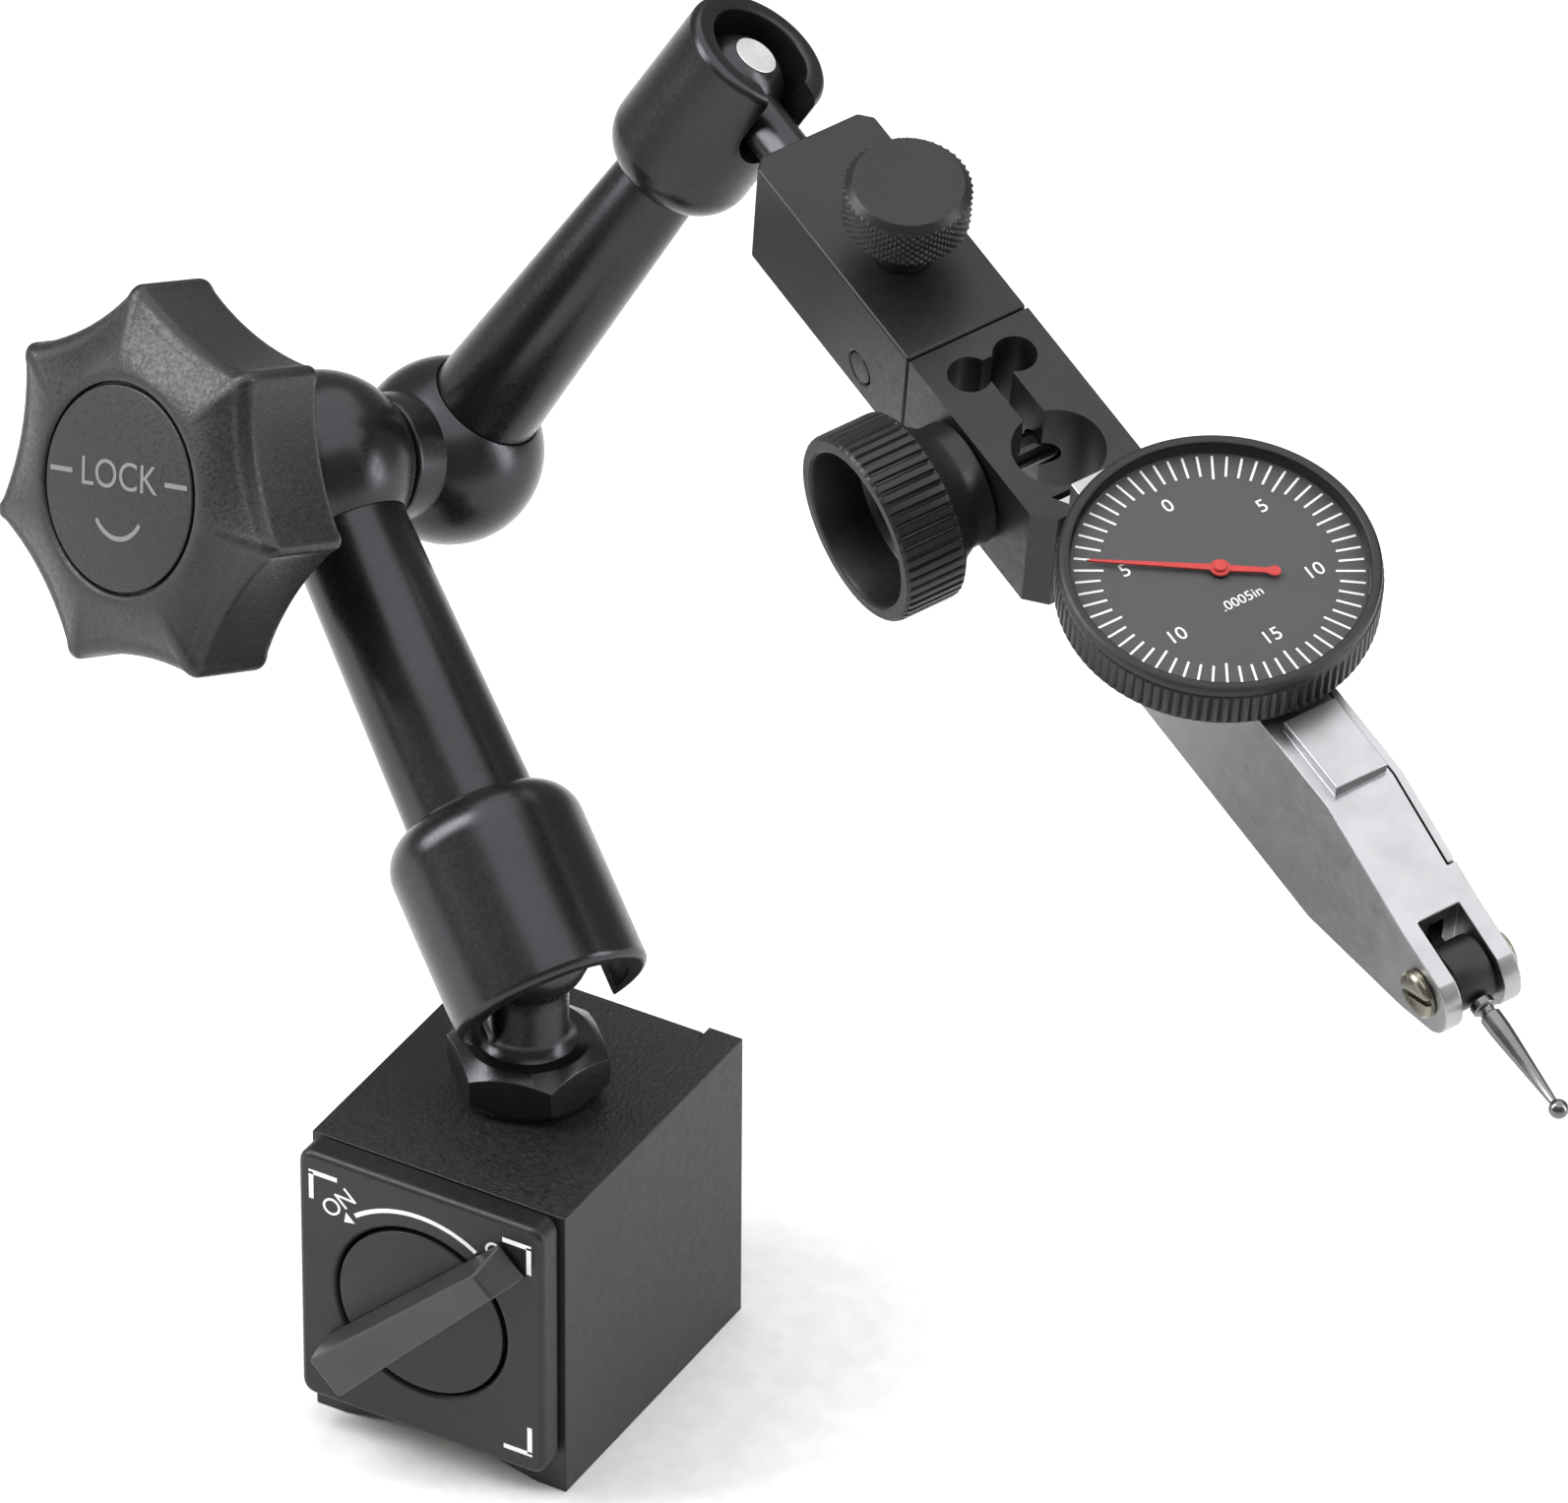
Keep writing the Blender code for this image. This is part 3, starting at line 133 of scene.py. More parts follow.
class Shader:
    """A Principled material with helpers for procedural colour, roughness and bump."""

    def __init__(self, name, colour, roughness, metallic=0.0, **sockets):
        self.mat = bpy.data.materials.new(name)
        self.mat.use_nodes = True
        self.tree = self.mat.node_tree
        self.bsdf = self.tree.nodes["Principled BSDF"]
        self.colour = colour
        self.bsdf.inputs["Base Color"].default_value = (*colour, 1.0)
        self.bsdf.inputs["Roughness"].default_value = roughness
        self.bsdf.inputs["Metallic"].default_value = metallic
        for key, value in sockets.items():
            self.bsdf.inputs[key.replace("_", " ")].default_value = value
        self.coords = self.tree.nodes.new("ShaderNodeTexCoord")

    def node(self, kind, **values):
        made = self.tree.nodes.new(kind)
        for key, value in values.items():
            if hasattr(made, key):
                setattr(made, key, value)
            else:
                made.inputs[key.replace("_", " ")].default_value = value
        return made

    def link(self, source, target):
        self.tree.links.new(source, target)

    def noise(self, size_mm, detail=2.0, stretch=(1.0, 1.0, 1.0)):
        """Noise whose features are about size_mm across, stretched along an axis."""
        mapping = self.node("ShaderNodeMapping")
        mapping.inputs["Scale"].default_value = stretch
        self.link(self.coords.outputs["Object"], mapping.inputs["Vector"])
        texture = self.node("ShaderNodeTexNoise", Scale=1000.0 / size_mm, Detail=detail)
        self.link(mapping.outputs["Vector"], texture.inputs["Vector"])
        return texture.outputs["Fac"]

    def cells(self, size_mm, feature="F1"):
        texture = self.node("ShaderNodeTexVoronoi", feature=feature, Scale=1000.0 / size_mm)
        self.link(self.coords.outputs["Object"], texture.inputs["Vector"])
        return texture.outputs["Distance"]

    def spread(self, source, low, high, start=0.3, end=0.7):
        """Maps a texture's value onto low..high."""
        ramp = self.node("ShaderNodeMapRange")
        ramp.inputs["From Min"].default_value = start
        ramp.inputs["From Max"].default_value = end
        ramp.inputs["To Min"].default_value = low
        ramp.inputs["To Max"].default_value = high
        self.link(source, ramp.inputs["Value"])
        return ramp.outputs["Result"]

    def vary_roughness(self, source, low, high):
        self.link(self.spread(source, low, high), self.bsdf.inputs["Roughness"])
        return self

    def vary_colour(self, source, other, start=0.35, end=0.65):
        mix = self.node("ShaderNodeMix", data_type="RGBA")
        mix.inputs[6].default_value = (*self.colour, 1.0)
        mix.inputs[7].default_value = (*other, 1.0)
        self.link(self.spread(source, 0.0, 1.0, start, end), mix.inputs["Factor"])
        self.link(mix.outputs[2], self.bsdf.inputs["Base Color"])
        return self

    def bump(self, source, depth_mm, strength=1.0, below=None):
        bump = self.node("ShaderNodeBump", Strength=strength, Distance=depth_mm * MM)
        self.link(source, bump.inputs["Height"])
        if below is not None:
            self.link(below, bump.inputs["Normal"])
        self.link(bump.outputs["Normal"], self.bsdf.inputs["Normal"])
        return bump.outputs["Normal"]


def leather_coat(name, colour, grain, depth, roughness):
    """Black stove enamel or moulded plastic with a fine pebbled grain and a few bright specks."""
    s = Shader(name, colour, roughness)
    low = s.bump(s.noise(grain * 3.5, 3.0), depth * 0.4, 0.3)
    s.bump(s.cells(grain, "SMOOTH_F1"), depth, 0.8, low)
    s.vary_roughness(s.noise(grain * 1.5, 4.0), roughness - 0.12, roughness + 0.12)
    s.vary_colour(s.noise(grain * 0.8, 2.0), tuple(c * 2.0 for c in colour), 0.55, 0.75)
    return s.mat


def satin_steel(name, colour, roughness, metallic):
    s = Shader(name, colour, roughness, metallic)
    s.bump(s.noise(1.8, 2.0), 0.02, 0.12)
    s.vary_roughness(s.noise(0.5, 3.0), roughness - 0.03, roughness + 0.04)
    s.vary_colour(s.noise(9.0, 3.0), tuple(c * 1.15 for c in colour))
    return s.mat


def bead_blasted(name, colour, roughness, metallic, grain=0.12, depth=0.01):
    s = Shader(name, colour, roughness, metallic)
    s.bump(s.noise(grain, 2.0), depth, 0.35)
    s.vary_roughness(s.noise(0.9, 3.0), roughness - 0.05, roughness + 0.05)
    s.vary_colour(s.noise(6.0, 2.0), tuple(c * 1.2 for c in colour))
    return s.mat


def metal(name, colour, roughness, grain=0.25, depth=0.004, spread=0.05):
    s = Shader(name, colour, roughness, 1.0)
    s.bump(s.noise(grain, 2.0), depth, 0.25)
    s.vary_roughness(s.noise(grain * 4, 3.0), roughness - spread, roughness + spread)
    s.vary_colour(s.noise(4.0, 3.0), tuple(c * 0.88 for c in colour))
    return s.mat


def paint(name, colour, roughness):
    s = Shader(name, colour, roughness)
    s.bump(s.noise(0.2, 2.0), 0.005, 0.2)
    s.vary_roughness(s.noise(0.6, 2.0), roughness - 0.05, roughness + 0.05)
    s.vary_colour(s.noise(3.0, 2.0), tuple(c * 0.94 for c in colour))
    return s.mat


COATED = leather_coat("coated_steel", (0.009, 0.009, 0.01), 0.42, 0.10, 0.5)
COAT_SMOOTH = bead_blasted("coated_steel_side", (0.009, 0.009, 0.0095), 0.5, 0.0, 0.3, 0.01)
SATIN = satin_steel("satin_black_steel", (0.038, 0.039, 0.042), 0.27, 0.85)
ANODISED = bead_blasted("black_anodised", (0.016, 0.0163, 0.0172), 0.4, 0.5)
PLATE = bead_blasted("front_plate_black", (0.012, 0.012, 0.013), 0.4, 0.3)
PLASTIC = leather_coat("black_plastic", (0.009, 0.009, 0.0095), 0.3, 0.03, 0.42)
HANDLE = bead_blasted("handle_plastic", (0.022, 0.022, 0.023), 0.38, 0.0, 0.15, 0.004)
DIAL = paint("dial_black", (0.05, 0.0505, 0.053), 0.55)
WHITE = paint("white_print", (0.85, 0.85, 0.84), 0.5)
GREY_PRINT = paint("grey_print", (0.17, 0.17, 0.17), 0.5)
RED = paint("pointer_red", (0.50, 0.022, 0.018), 0.4)
CHROME = metal("satin_chrome", (0.38, 0.384, 0.395), 0.33, 0.3, 0.0005, 0.02)
POLISHED = metal("steel", (0.17, 0.17, 0.175), 0.24, 0.3, 0.001, 0.03)
MACHINED = metal("machined_steel", (0.85, 0.85, 0.86), 0.5, 0.3, 0.001, 0.03)
NICKEL = metal("nickel", (0.24, 0.225, 0.18), 0.28, 0.2, 0.001)
BRASS = metal("brass", (0.62, 0.46, 0.18), 0.3, 0.3)
MAGNET = metal("magnet", (0.1, 0.1, 0.1), 0.5, 0.4)
JEWEL = paint("ruby", (0.5, 0.02, 0.06), 0.12)


def clear_material():
    """A thin window: mostly see-through, with a gloss on its surface."""
    s = Shader("clear_plastic", (0.02, 0.02, 0.02), 0.16)
    s.bsdf.inputs["Alpha"].default_value = 0.05
    s.vary_roughness(s.noise(6.0, 1.0), 0.13, 0.19)
    return s.mat


CLEAR = clear_material()


# ---------------------------------------------------------------- mesh tools

def piece(name, bm, at, body, mat, nodes=(), sharp=32):
    """Scales a mesh to metres, puts it in its place, and makes it ride on its body."""
    bmesh.ops.recalc_face_normals(bm, faces=bm.faces)
    bmesh.ops.transform(bm, matrix=at @ Matrix.Scale(MM, 4), verts=bm.verts)
    mesh = bpy.data.meshes.new(name)
    bm.to_mesh(mesh)
    bm.free()
    mesh.materials.append(mat)
    mesh.shade_smooth()
    mesh.set_sharp_from_angle(angle=math.radians(sharp))
    obj = bpy.data.objects.new(name, mesh)
    bpy.context.scene.collection.objects.link(obj)
    if body is not None:
        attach(obj, body)
        if nodes:
            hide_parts(*nodes)
    return obj


def along(axis, u, v, w):
    point = [0.0, 0.0, 0.0]
    start = "XYZ".index(axis)
    point[start] = w
    point[(start + 1) % 3] = u
    point[(start + 2) % 3] = v
    return point


def stack_mesh(rings, axis="Z"):
    """Skins a list of (outline, height) rings and closes both ends."""
    bm = bmesh.new()
    loops = [[bm.verts.new(along(axis, u, v, height)) for u, v in outline] for outline, height in rings]
    for low, high in zip(loops, loops[1:]):
        count = len(low)
        for i in range(count):
            j = (i + 1) % count
            bm.faces.new((low[i], low[j], high[j], high[i]))
    bm.faces.new(loops[0])
    bm.faces.new(loops[-1])
    return bm


def circle(radius, segments=96, centre=(0.0, 0.0)):
    points = []
    for i in range(segments):
        angle = 2 * math.pi * i / segments
        points.append((centre[0] + radius * math.cos(angle), centre[1] + radius * math.sin(angle)))
    return points


def turned_mesh(profile, axis="Z", centre=(0.0, 0.0), segments=96):
    """(radius, height) points turned about the axis; a radius of 0 is a point on it."""
    bm = bmesh.new()
    loops = []
    for radius, height in profile:
        if radius == 0:
            loops.append([bm.verts.new(along(axis, *centre, height))])
            continue
        loops.append([bm.verts.new(along(axis, u, v, height)) for u, v in circle(radius, segments, centre)])
    pairs = list(zip(loops, loops[1:]))
    if len(loops[0]) > 1:
        pairs.append((loops[-1], loops[0]))
    for low, high in pairs:
        for i in range(segments):
            j = (i + 1) % segments
            corners = [low[i % len(low)], low[j % len(low)], high[j % len(high)], high[i % len(high)]]
            bm.faces.new(list(dict.fromkeys(corners)))
    return bm


def block_mesh(low, high):
    outline = [(low[0], low[1]), (high[0], low[1]), (high[0], high[1]), (low[0], high[1])]
    return stack_mesh([(outline, low[2]), (outline, high[2])])


def prism_mesh(outline, low, high, axis="Z"):
    return stack_mesh([(outline, low), (outline, high)], axis)


def arc(radius, start, end, steps, centre=(0.0, 0.0)):
    points = []
    for i in range(steps + 1):
        angle = math.radians(start + (end - start) * i / steps)
        points.append((centre[0] + radius * math.cos(angle), centre[1] + radius * math.sin(angle)))
    return points


def sphere_arc(radius, start, end, steps, height=0.0):
    points = []
    for i in range(steps + 1):
        angle = math.radians(start + (end - start) * i / steps)
        points.append((radius * math.sin(angle), height + radius * math.cos(angle)))
    return points


def rounded(points, radius, steps=4):
    """A copy of an open (r, z) profile whose inner corners are rounded by short arcs."""
    made = [points[0]]
    for before, corner, after in zip(points, points[1:], points[2:]):
        a = Vector(before) - Vector(corner)
        b = Vector(after) - Vector(corner)
        reach = min(radius, a.length * 0.45, b.length * 0.45)
        if reach < 0.02 or a.angle(b) > math.radians(165):
            made.append(corner)
            continue
        start = Vector(corner) + a.normalized() * reach
        end = Vector(corner) + b.normalized() * reach
        for i in range(steps + 1):
            t = i / steps
            bend = start * (1 - t) ** 2 + Vector(corner) * 2 * t * (1 - t) + end * t ** 2
            made.append((bend.x, bend.y))
    made.append(points[-1])
    return made


def rectangle(half_width, half_height, corner, centre=(0.0, 0.0), steps=6):
    points = []
    for i, (sx, sy) in enumerate(((1, 1), (-1, 1), (-1, -1), (1, -1))):
        middle = (centre[0] + sx * (half_width - corner), centre[1] + sy * (half_height - corner))
        points += arc(corner, 90 * i, 90 * i + 90, steps, middle)
    return points


def apply_modifiers(obj):
    depsgraph = bpy.context.evaluated_depsgraph_get()
    made = bpy.data.meshes.new_from_object(obj.evaluated_get(depsgraph), depsgraph=depsgraph)
    obj.modifiers.clear()
    old = obj.data
    obj.data = made
    bpy.data.meshes.remove(old)


def combined(obj, tools, operation="DIFFERENCE"):
    """Cuts obj with the tool meshes, or joins them to it, and removes the tools."""
    made = []
    for bm, at in tools:
        tool = piece("tool", bm, at, None, obj.data.materials[0])
        modifier = obj.modifiers.new("tool", "BOOLEAN")
        modifier.operation = operation
        modifier.solver = "EXACT"
        modifier.object = tool
        made.append(tool)
    apply_modifiers(obj)
    for tool in made:
        bpy.data.objects.remove(tool, do_unlink=True)
    return obj


def softened(obj, width, segments=3, angle=32):
    """Rounds the edges sharper than angle, and shades the result smooth."""
    modifier = obj.modifiers.new("edges", "BEVEL")
    modifier.width = width * MM
    modifier.segments = segments
    modifier.limit_method = "ANGLE"
    modifier.angle_limit = math.radians(angle)
    modifier.use_clamp_overlap = True
    modifier.miter_outer = "MITER_ARC"
    apply_modifiers(obj)
    obj.data.shade_smooth()
    obj.data.set_sharp_from_angle(angle=math.radians(38))
    weighted = obj.modifiers.new("normals", "WEIGHTED_NORMAL")
    weighted.keep_sharp = True
    return obj


def text_piece(name, words, size, at, body, mat):
    """Raised print: the words lie in the XY plane of at, centred on its origin."""
    curve = bpy.data.curves.new(name, "FONT")
    curve.body = words
    curve.size = size * MM
    curve.align_x = "CENTER"
    curve.align_y = "CENTER"
    curve.extrude = PRINT * MM / 2
    curve.resolution_u = 6
    source = bpy.data.objects.new(name + "_curve", curve)
    bpy.context.scene.collection.objects.link(source)
    depsgraph = bpy.context.evaluated_depsgraph_get()
    mesh = bpy.data.meshes.new_from_object(source.evaluated_get(depsgraph), depsgraph=depsgraph)
    bpy.data.objects.remove(source, do_unlink=True)
    bm = bmesh.new()
    bm.from_mesh(mesh)
    bpy.data.meshes.remove(mesh)
    bmesh.ops.remove_doubles(bm, verts=bm.verts, dist=1e-7)
    bmesh.ops.scale(bm, vec=(1 / MM,) * 3, verts=bm.verts)
    return piece(name, bm, at, body, mat)


def add_slab(bm, corners):
    """Adds a printed mark to bm: a flat shape with four corners, as thick as the print."""
    low = [bm.verts.new((c.x, c.y, 0.0)) for c in corners]
    high = [bm.verts.new((c.x, c.y, PRINT)) for c in corners]
    bm.faces.new(low[::-1])
    bm.faces.new(high)
    for i in range(4):
        bm.faces.new((low[i], low[(i + 1) % 4], high[(i + 1) % 4], high[i]))


def fluted(radius, depth, flutes, per_flute, sharpness):
    """A circle with straight grooves; a higher sharpness makes them narrower."""
    segments = flutes * per_flute
    points = []
    for i in range(segments):
        phase = (i % per_flute) / per_flute
        sink = depth * max(0.0, math.cos(2 * math.pi * phase)) ** sharpness
        angle = 2 * math.pi * i / segments
        points.append(((radius - sink) * math.cos(angle), (radius - sink) * math.sin(angle)))
    return points


# ---------------------------------------------------------------- magnetic base

def make_base():
    half = 15.0
    foot = half - 3.5
    slot = 1.8
    shoulder = 2.6 * (foot - slot) / foot
    outline = [(0, half), (BASE_HEIGHT, half), (BASE_HEIGHT, -half), (0, -half), (0, -foot)]
    outline += [(shoulder, -slot), (9.0, -slot), (9.0, slot), (shoulder, slot), (0, foot)]
    block = prism_mesh(outline, -BASE_DEPTH / 2, BASE_DEPTH / 2, "Y")
    body = piece("base_casting", block, WORLD, "base", COATED, ["base_body"])
    middle = (SWITCH_HEIGHT, 0.0)
    tools = [
        (prism_mesh(circle(ROTOR_BORE, 96, middle), -19, 13.5, "Y"), WORLD),
        (block_mesh((-11.0, 15.8, -1), (11.0, 20, 36)), WORLD),
        (prism_mesh(circle(3.0, 48), 30.3, 40), WORLD),
    ]
    softened(combined(body, tools), 0.55, 3, 40)
    body.data.materials.append(COAT_SMOOTH)
    for face in body.data.polygons:
        if face.normal.z < 0.6:
            face.material_index = 1

    centre = (19.75, 0.0)
    panel = prism_mesh(rectangle(15.55, 14.5, 1.5, centre), -PLATE_FACE, -PLATE_BACK, "Y")
    plate = piece("front_plate_panel", panel, WORLD, "base", PLATE, ["front_plate"])
    combined(plate, [(prism_mesh(circle(ROTOR_BORE, 128, middle), -30, 0, "Y"), WORLD)])
    softened(plate, 0.7, 5, 40)
    rear = block_mesh((-10.7, 16.1, 3.2), (10.7, 17.5, 34.6))
    softened(piece("rear_panel", rear, WORLD, "base", COAT_SMOOTH, ["rear_plate"]), 0.3)


def make_plate_print():
    """Corner brackets, the ON and OFF words, and the arc with its arrowhead between them."""
    at = shifted(SWITCH, 0, 0, PLATE_FACE)
    width = 0.55
    bm = bmesh.new()

    def strip(start, end):
        """A straight line of the print."""
        a = Vector(start)
        b = Vector(end)
        side = (b - a).normalized().orthogonal() * width / 2
        add_slab(bm, [a + side, a - side, b - side, b + side])

    reach = 12.9
    arm = 3.1
    for sx, sy in ((-1, 1), (1, 1), (1, -1)):
        u = sx * reach
        v = sy * reach
        edge = v + sy * width / 2
        strip((u - sx * arm, edge), (u + sx * width / 2, edge))
        strip((u, edge), (u, v - sy * arm))
    piece("plate_brackets", bm, at, "base", WHITE)

    bm = bmesh.new()
    outer = arc(12.45, 57, 129, 40)
    inner = arc(11.95, 57, 129, 40)
    bottom = [bm.verts.new((u, v, 0.0)) for u, v in outer + inner[::-1]]
    top = [bm.verts.new((u, v, PRINT)) for u, v in outer + inner[::-1]]
    count = len(bottom)
    half = count // 2
    for i in range(half - 1):
        j = count - 1 - i
        bm.faces.new((bottom[i], bottom[i + 1], bottom[j - 1], bottom[j]))
        bm.faces.new((top[i], top[j], top[j - 1], top[i + 1]))
    for i in range(count):
        j = (i + 1) % count
        bm.faces.new((bottom[i], bottom[j], top[j], top[i]))
    piece("plate_arc", bm, at, "base", WHITE)
    tip = math.radians(137.5)
    heart = math.radians(132.5)
    radius = 12.2
    spot = Vector((radius * math.cos(heart), radius * math.sin(heart)))
    point = Vector((radius * math.cos(tip), radius * math.sin(tip)))
    side = (point - spot).orthogonal().normalized() * 0.75
    arrow = [tuple(spot + side), tuple(spot - side), tuple(point)]
    piece("plate_arrow", prism_mesh(arrow, 0.0, PRINT), at, "base", WHITE)
    for name, word, angle, u, v in (("plate_on", "ON", 45, -9.6, 10.3), ("plate_off", "OFF", -45, 9.7, 10.2)):
        place_at = shifted(at, u, v, PRINT / 2) @ Matrix.Rotation(math.radians(angle), 4, "Z")
        text_piece(name, word, 2.9, place_at, "base", WHITE)


def handle_outline(half_tail, half_nose, tail, nose):
    points = [(-tail, half_tail), (-tail, -half_tail), (nose, -half_nose), (nose, half_nose)]
    turn = math.radians(45.0)
    c = math.cos(turn)
    s = math.sin(turn)
    return [(u * c - v * s, u * s + v * c) for u, v in points]


def make_switch():
    face = PLATE_FACE
    rear = PLATE_BACK
    corners = [(0, rear + 2.2), (3.2, rear + 2.2), (3.2, rear), (9.7, rear), (9.7, face), (0, face)]
    profile = rounded(corners, 0.2)
    disc = turned_mesh(profile, segments=160)
    piece("switch_dial", disc, SWITCH, "switch", PLATE, ["switch_knob"])
    bar_rings = [
        (handle_outline(3.0, 2.2, 13.2, 15.9), face + FIT),
        (handle_outline(2.95, 2.15, 13.15, 15.8), face + 0.8),
        (handle_outline(2.45, 1.6, 12.8, 14.2), face + 4.5),
    ]
    bar = piece("switch_handle", stack_mesh(bar_rings), SWITCH, "switch", HANDLE)
    core = prism_mesh(handle_outline(2.2, 2.0, 8.0, 8.0), face - 0.5, face + 1)
    combined(bar, [(core, SWITCH)], "UNION")
    softened(bar, 0.35, 4, 20)


# ---------------------------------------------------------------- ball stud, arms and elbow

def make_ball_stud():
    hex_flats = 15.0
    low = 36.1
    high = 41.2
    crown = 24.0
    neck = math.degrees(math.asin(4.2 / STUD_BALL))
    profile = [(0, 30.6), (2.7, 30.6), (2.7, low), (7.4, low), (8.7, low + 0.8)]
    profile += [(8.7, high - 1.5), (6.5, high - 0.05), (5.2, high), (4.6, high + 0.6)]
    profile += [(4.2, high + 1.6), (4.2, 46.6)]
    flat = BALL_HEIGHT + STUD_BALL * math.cos(math.radians(crown))
    profile += sphere_arc(STUD_BALL, 180 - neck, crown, 40, BALL_HEIGHT) + [(0, flat)]
    turned = turned_mesh(profile, segments=144)
    stud = piece("ball_stud_turned", turned, WORLD, "base", SATIN, ["ball_stud"])
    sides = []
    for i in range(6):
        turn = Matrix.Rotation(math.radians(60 * i - 14.0), 4, "Z")
        sides.append((block_mesh((hex_flats / 2, -12, low - 0.5), (20, 12, high + 0.05)), turn))
    combined(stud, sides)
    softened(stud, 0.18, 2, 28)
    facet = [(0, 0.0), (2.55, 0.0), (2.65, -0.12), (0, -0.12)]
    at = shifted(WORLD, 0, 0, flat + 0.06)
    piece("ball_stud_facet", turned_mesh(facet), at, "base", MACHINED)


def cup_piece(name, node, at, body, radius, bore, rim, end, centre, slot_width, slot_centre, slot_turn,
              socket, passage, side):
    """A ball cup with a rounded shoulder, a soft rim and a round-ended slot.

    side is the direction from the rim to the end along Z, +1 or -1.
    """
    shoulder = 4.6
    s = side
    profile = [(0, end), (radius - shoulder, end)]
    for i in range(1, 19):
        angle = math.radians(5 * i)
        drop = shoulder * (1 - math.cos(angle))
        profile.append((radius - shoulder + shoulder * math.sin(angle), end - s * drop))
    lip = 0.9
    for i in range(0, 9):
        angle = math.radians(11.25 * i)
        profile.append((radius - lip + lip * math.cos(angle), rim + s * lip * (1 - math.sin(angle))))
    profile += [(bore + 0.35, rim), (bore + 0.1, rim + s * 0.1), (bore, rim + s * 0.35)]
    for i in range(31):
        angle = math.radians(3 * i)
        profile.append((bore * math.cos(angle), centre + s * bore * math.sin(angle)))
    profile[-1] = (0, centre + s * bore)
    cup = piece(name, turned_mesh(profile, segments=144), at, body, SATIN, [node])
    low = centre + s * (bore - 1)
    deep = end - s * 3.5
    half = slot_width / 2
    outline = [(-half, rim - s * 3), (-half, slot_centre)]
    for i in range(1, 40):
        angle = math.radians(4.5 * i)
        outline.append((-half * math.cos(angle), slot_centre + s * half * math.sin(angle)))
    outline += [(half, slot_centre), (half, rim - s * 3)]
    tools = [
        (prism_mesh(circle(socket), min(deep, end + s), max(deep, end + s)), at),
        (prism_mesh(circle(passage, 48), min(low, end + s), max(low, end + s)), at),
        (prism_mesh(outline, 0, radius + 3, "X"), at @ Matrix.Rotation(math.radians(slot_turn), 4, "Z")),
    ]
    combined(cup, tools)
    softened(cup, 0.45, 4, 30)


def tube_piece(name, node, at, body, radii, low, high):
    profile = rounded([(TUBE_BORE, low), (radii[0], low), (radii[1], high), (TUBE_BORE, high)], 0.3)
    piece(name, turned_mesh(profile, segments=128), at, body, SATIN, [node])


def make_arms():
    cup_piece("lower_ball_cup", "lower_cup", LOWER, "lower_arm", 10.5, 8.1, -7.0, 15.0, 0.0, 14.2, -2.8,
              -14.0, 7.3, TUBE_BORE, 1)
    tube_piece("lower_arm_tube", "lower_tube", LOWER, "lower_arm", (7.0, 6.25), 11.8, LOWER_LENGTH - 6.8)
    cup_piece("upper_ball_cup", "upper_cup", UPPER, "upper_arm", 7.875, 5.45, 62.6, 43.0, UPPER_LENGTH, 6.6,
              UPPER_LENGTH + 0.2, 0.0, 4.8, TUBE_BORE, -1)
    tube_piece("upper_arm_tube", "upper_tube", UPPER, "upper_arm", (6.0, 4.5), 6.8, 46.2)


def arm_tools(centre_height, arm, tube_radius):
    """The cutters for an arm's socket and its push rod's passage in an elbow housing."""
    local = ELBOW.to_3x3().inverted() @ arm
    side = Vector((0, 0, 1)).cross(local)
    turn = Matrix((side, local.cross(side), local)).transposed().to_4x4()
    turn.translation = Vector((0, 0, centre_height)) * MM
    at = ELBOW @ turn
    return [
        (prism_mesh(circle(tube_radius + 0.12), 6.5, 14), at),
        (prism_mesh(circle(TUBE_BORE, 48), 2, 12), at),
    ]


def make_elbow():
    radius = ELBOW_BALL
    bore = 5.2
    flat = 7.6
    high = 8.3
    start = math.degrees(math.acos(high / radius))
    end = math.degrees(math.acos(-flat / radius))
    profile = [(bore, high)] + sphere_arc(radius, start, end, 60) + [(bore, -flat)]
    lower = piece("lower_elbow_ball", turned_mesh(profile, segments=144), ELBOW, "lower_arm", SATIN,
                  ["lower_elbow_housing"])
    combined(lower, arm_tools(0, -LOWER_AXIS, 6.25))
    softened(lower, 0.3, 3, 34)

    middle = -ELBOW_SPACING
    collar = 6.75
    face = -flat - FIT
    start = math.degrees(math.asin(collar / radius))
    profile = [(0, middle - radius)] + sphere_arc(radius, 178, start, 70, middle)
    profile += [(collar, face - 0.5), (collar - 0.15, face - 0.15), (collar - 0.5, face), (bore, face)]
    profile += [(bore, middle - 5.2), (0, middle - 5.2)]
    upper = piece("upper_elbow_ball", turned_mesh(profile, segments=144), ELBOW, "upper_arm", SATIN,
                  ["upper_elbow_housing"])
    combined(upper, arm_tools(middle, UPPER_AXIS, 6.0))
    softened(upper, 0.3, 3, 34)
    profile = rounded([(TUBE_BORE, 3.3), (4.9, 3.3), (4.9, 15.7), (TUBE_BORE, 15.7)], 0.3)
    piece("knob_sleeve", turned_mesh(profile), ELBOW, "knob", SATIN, ["thrust_sleeve"])


KNOB_TURN = 17.4


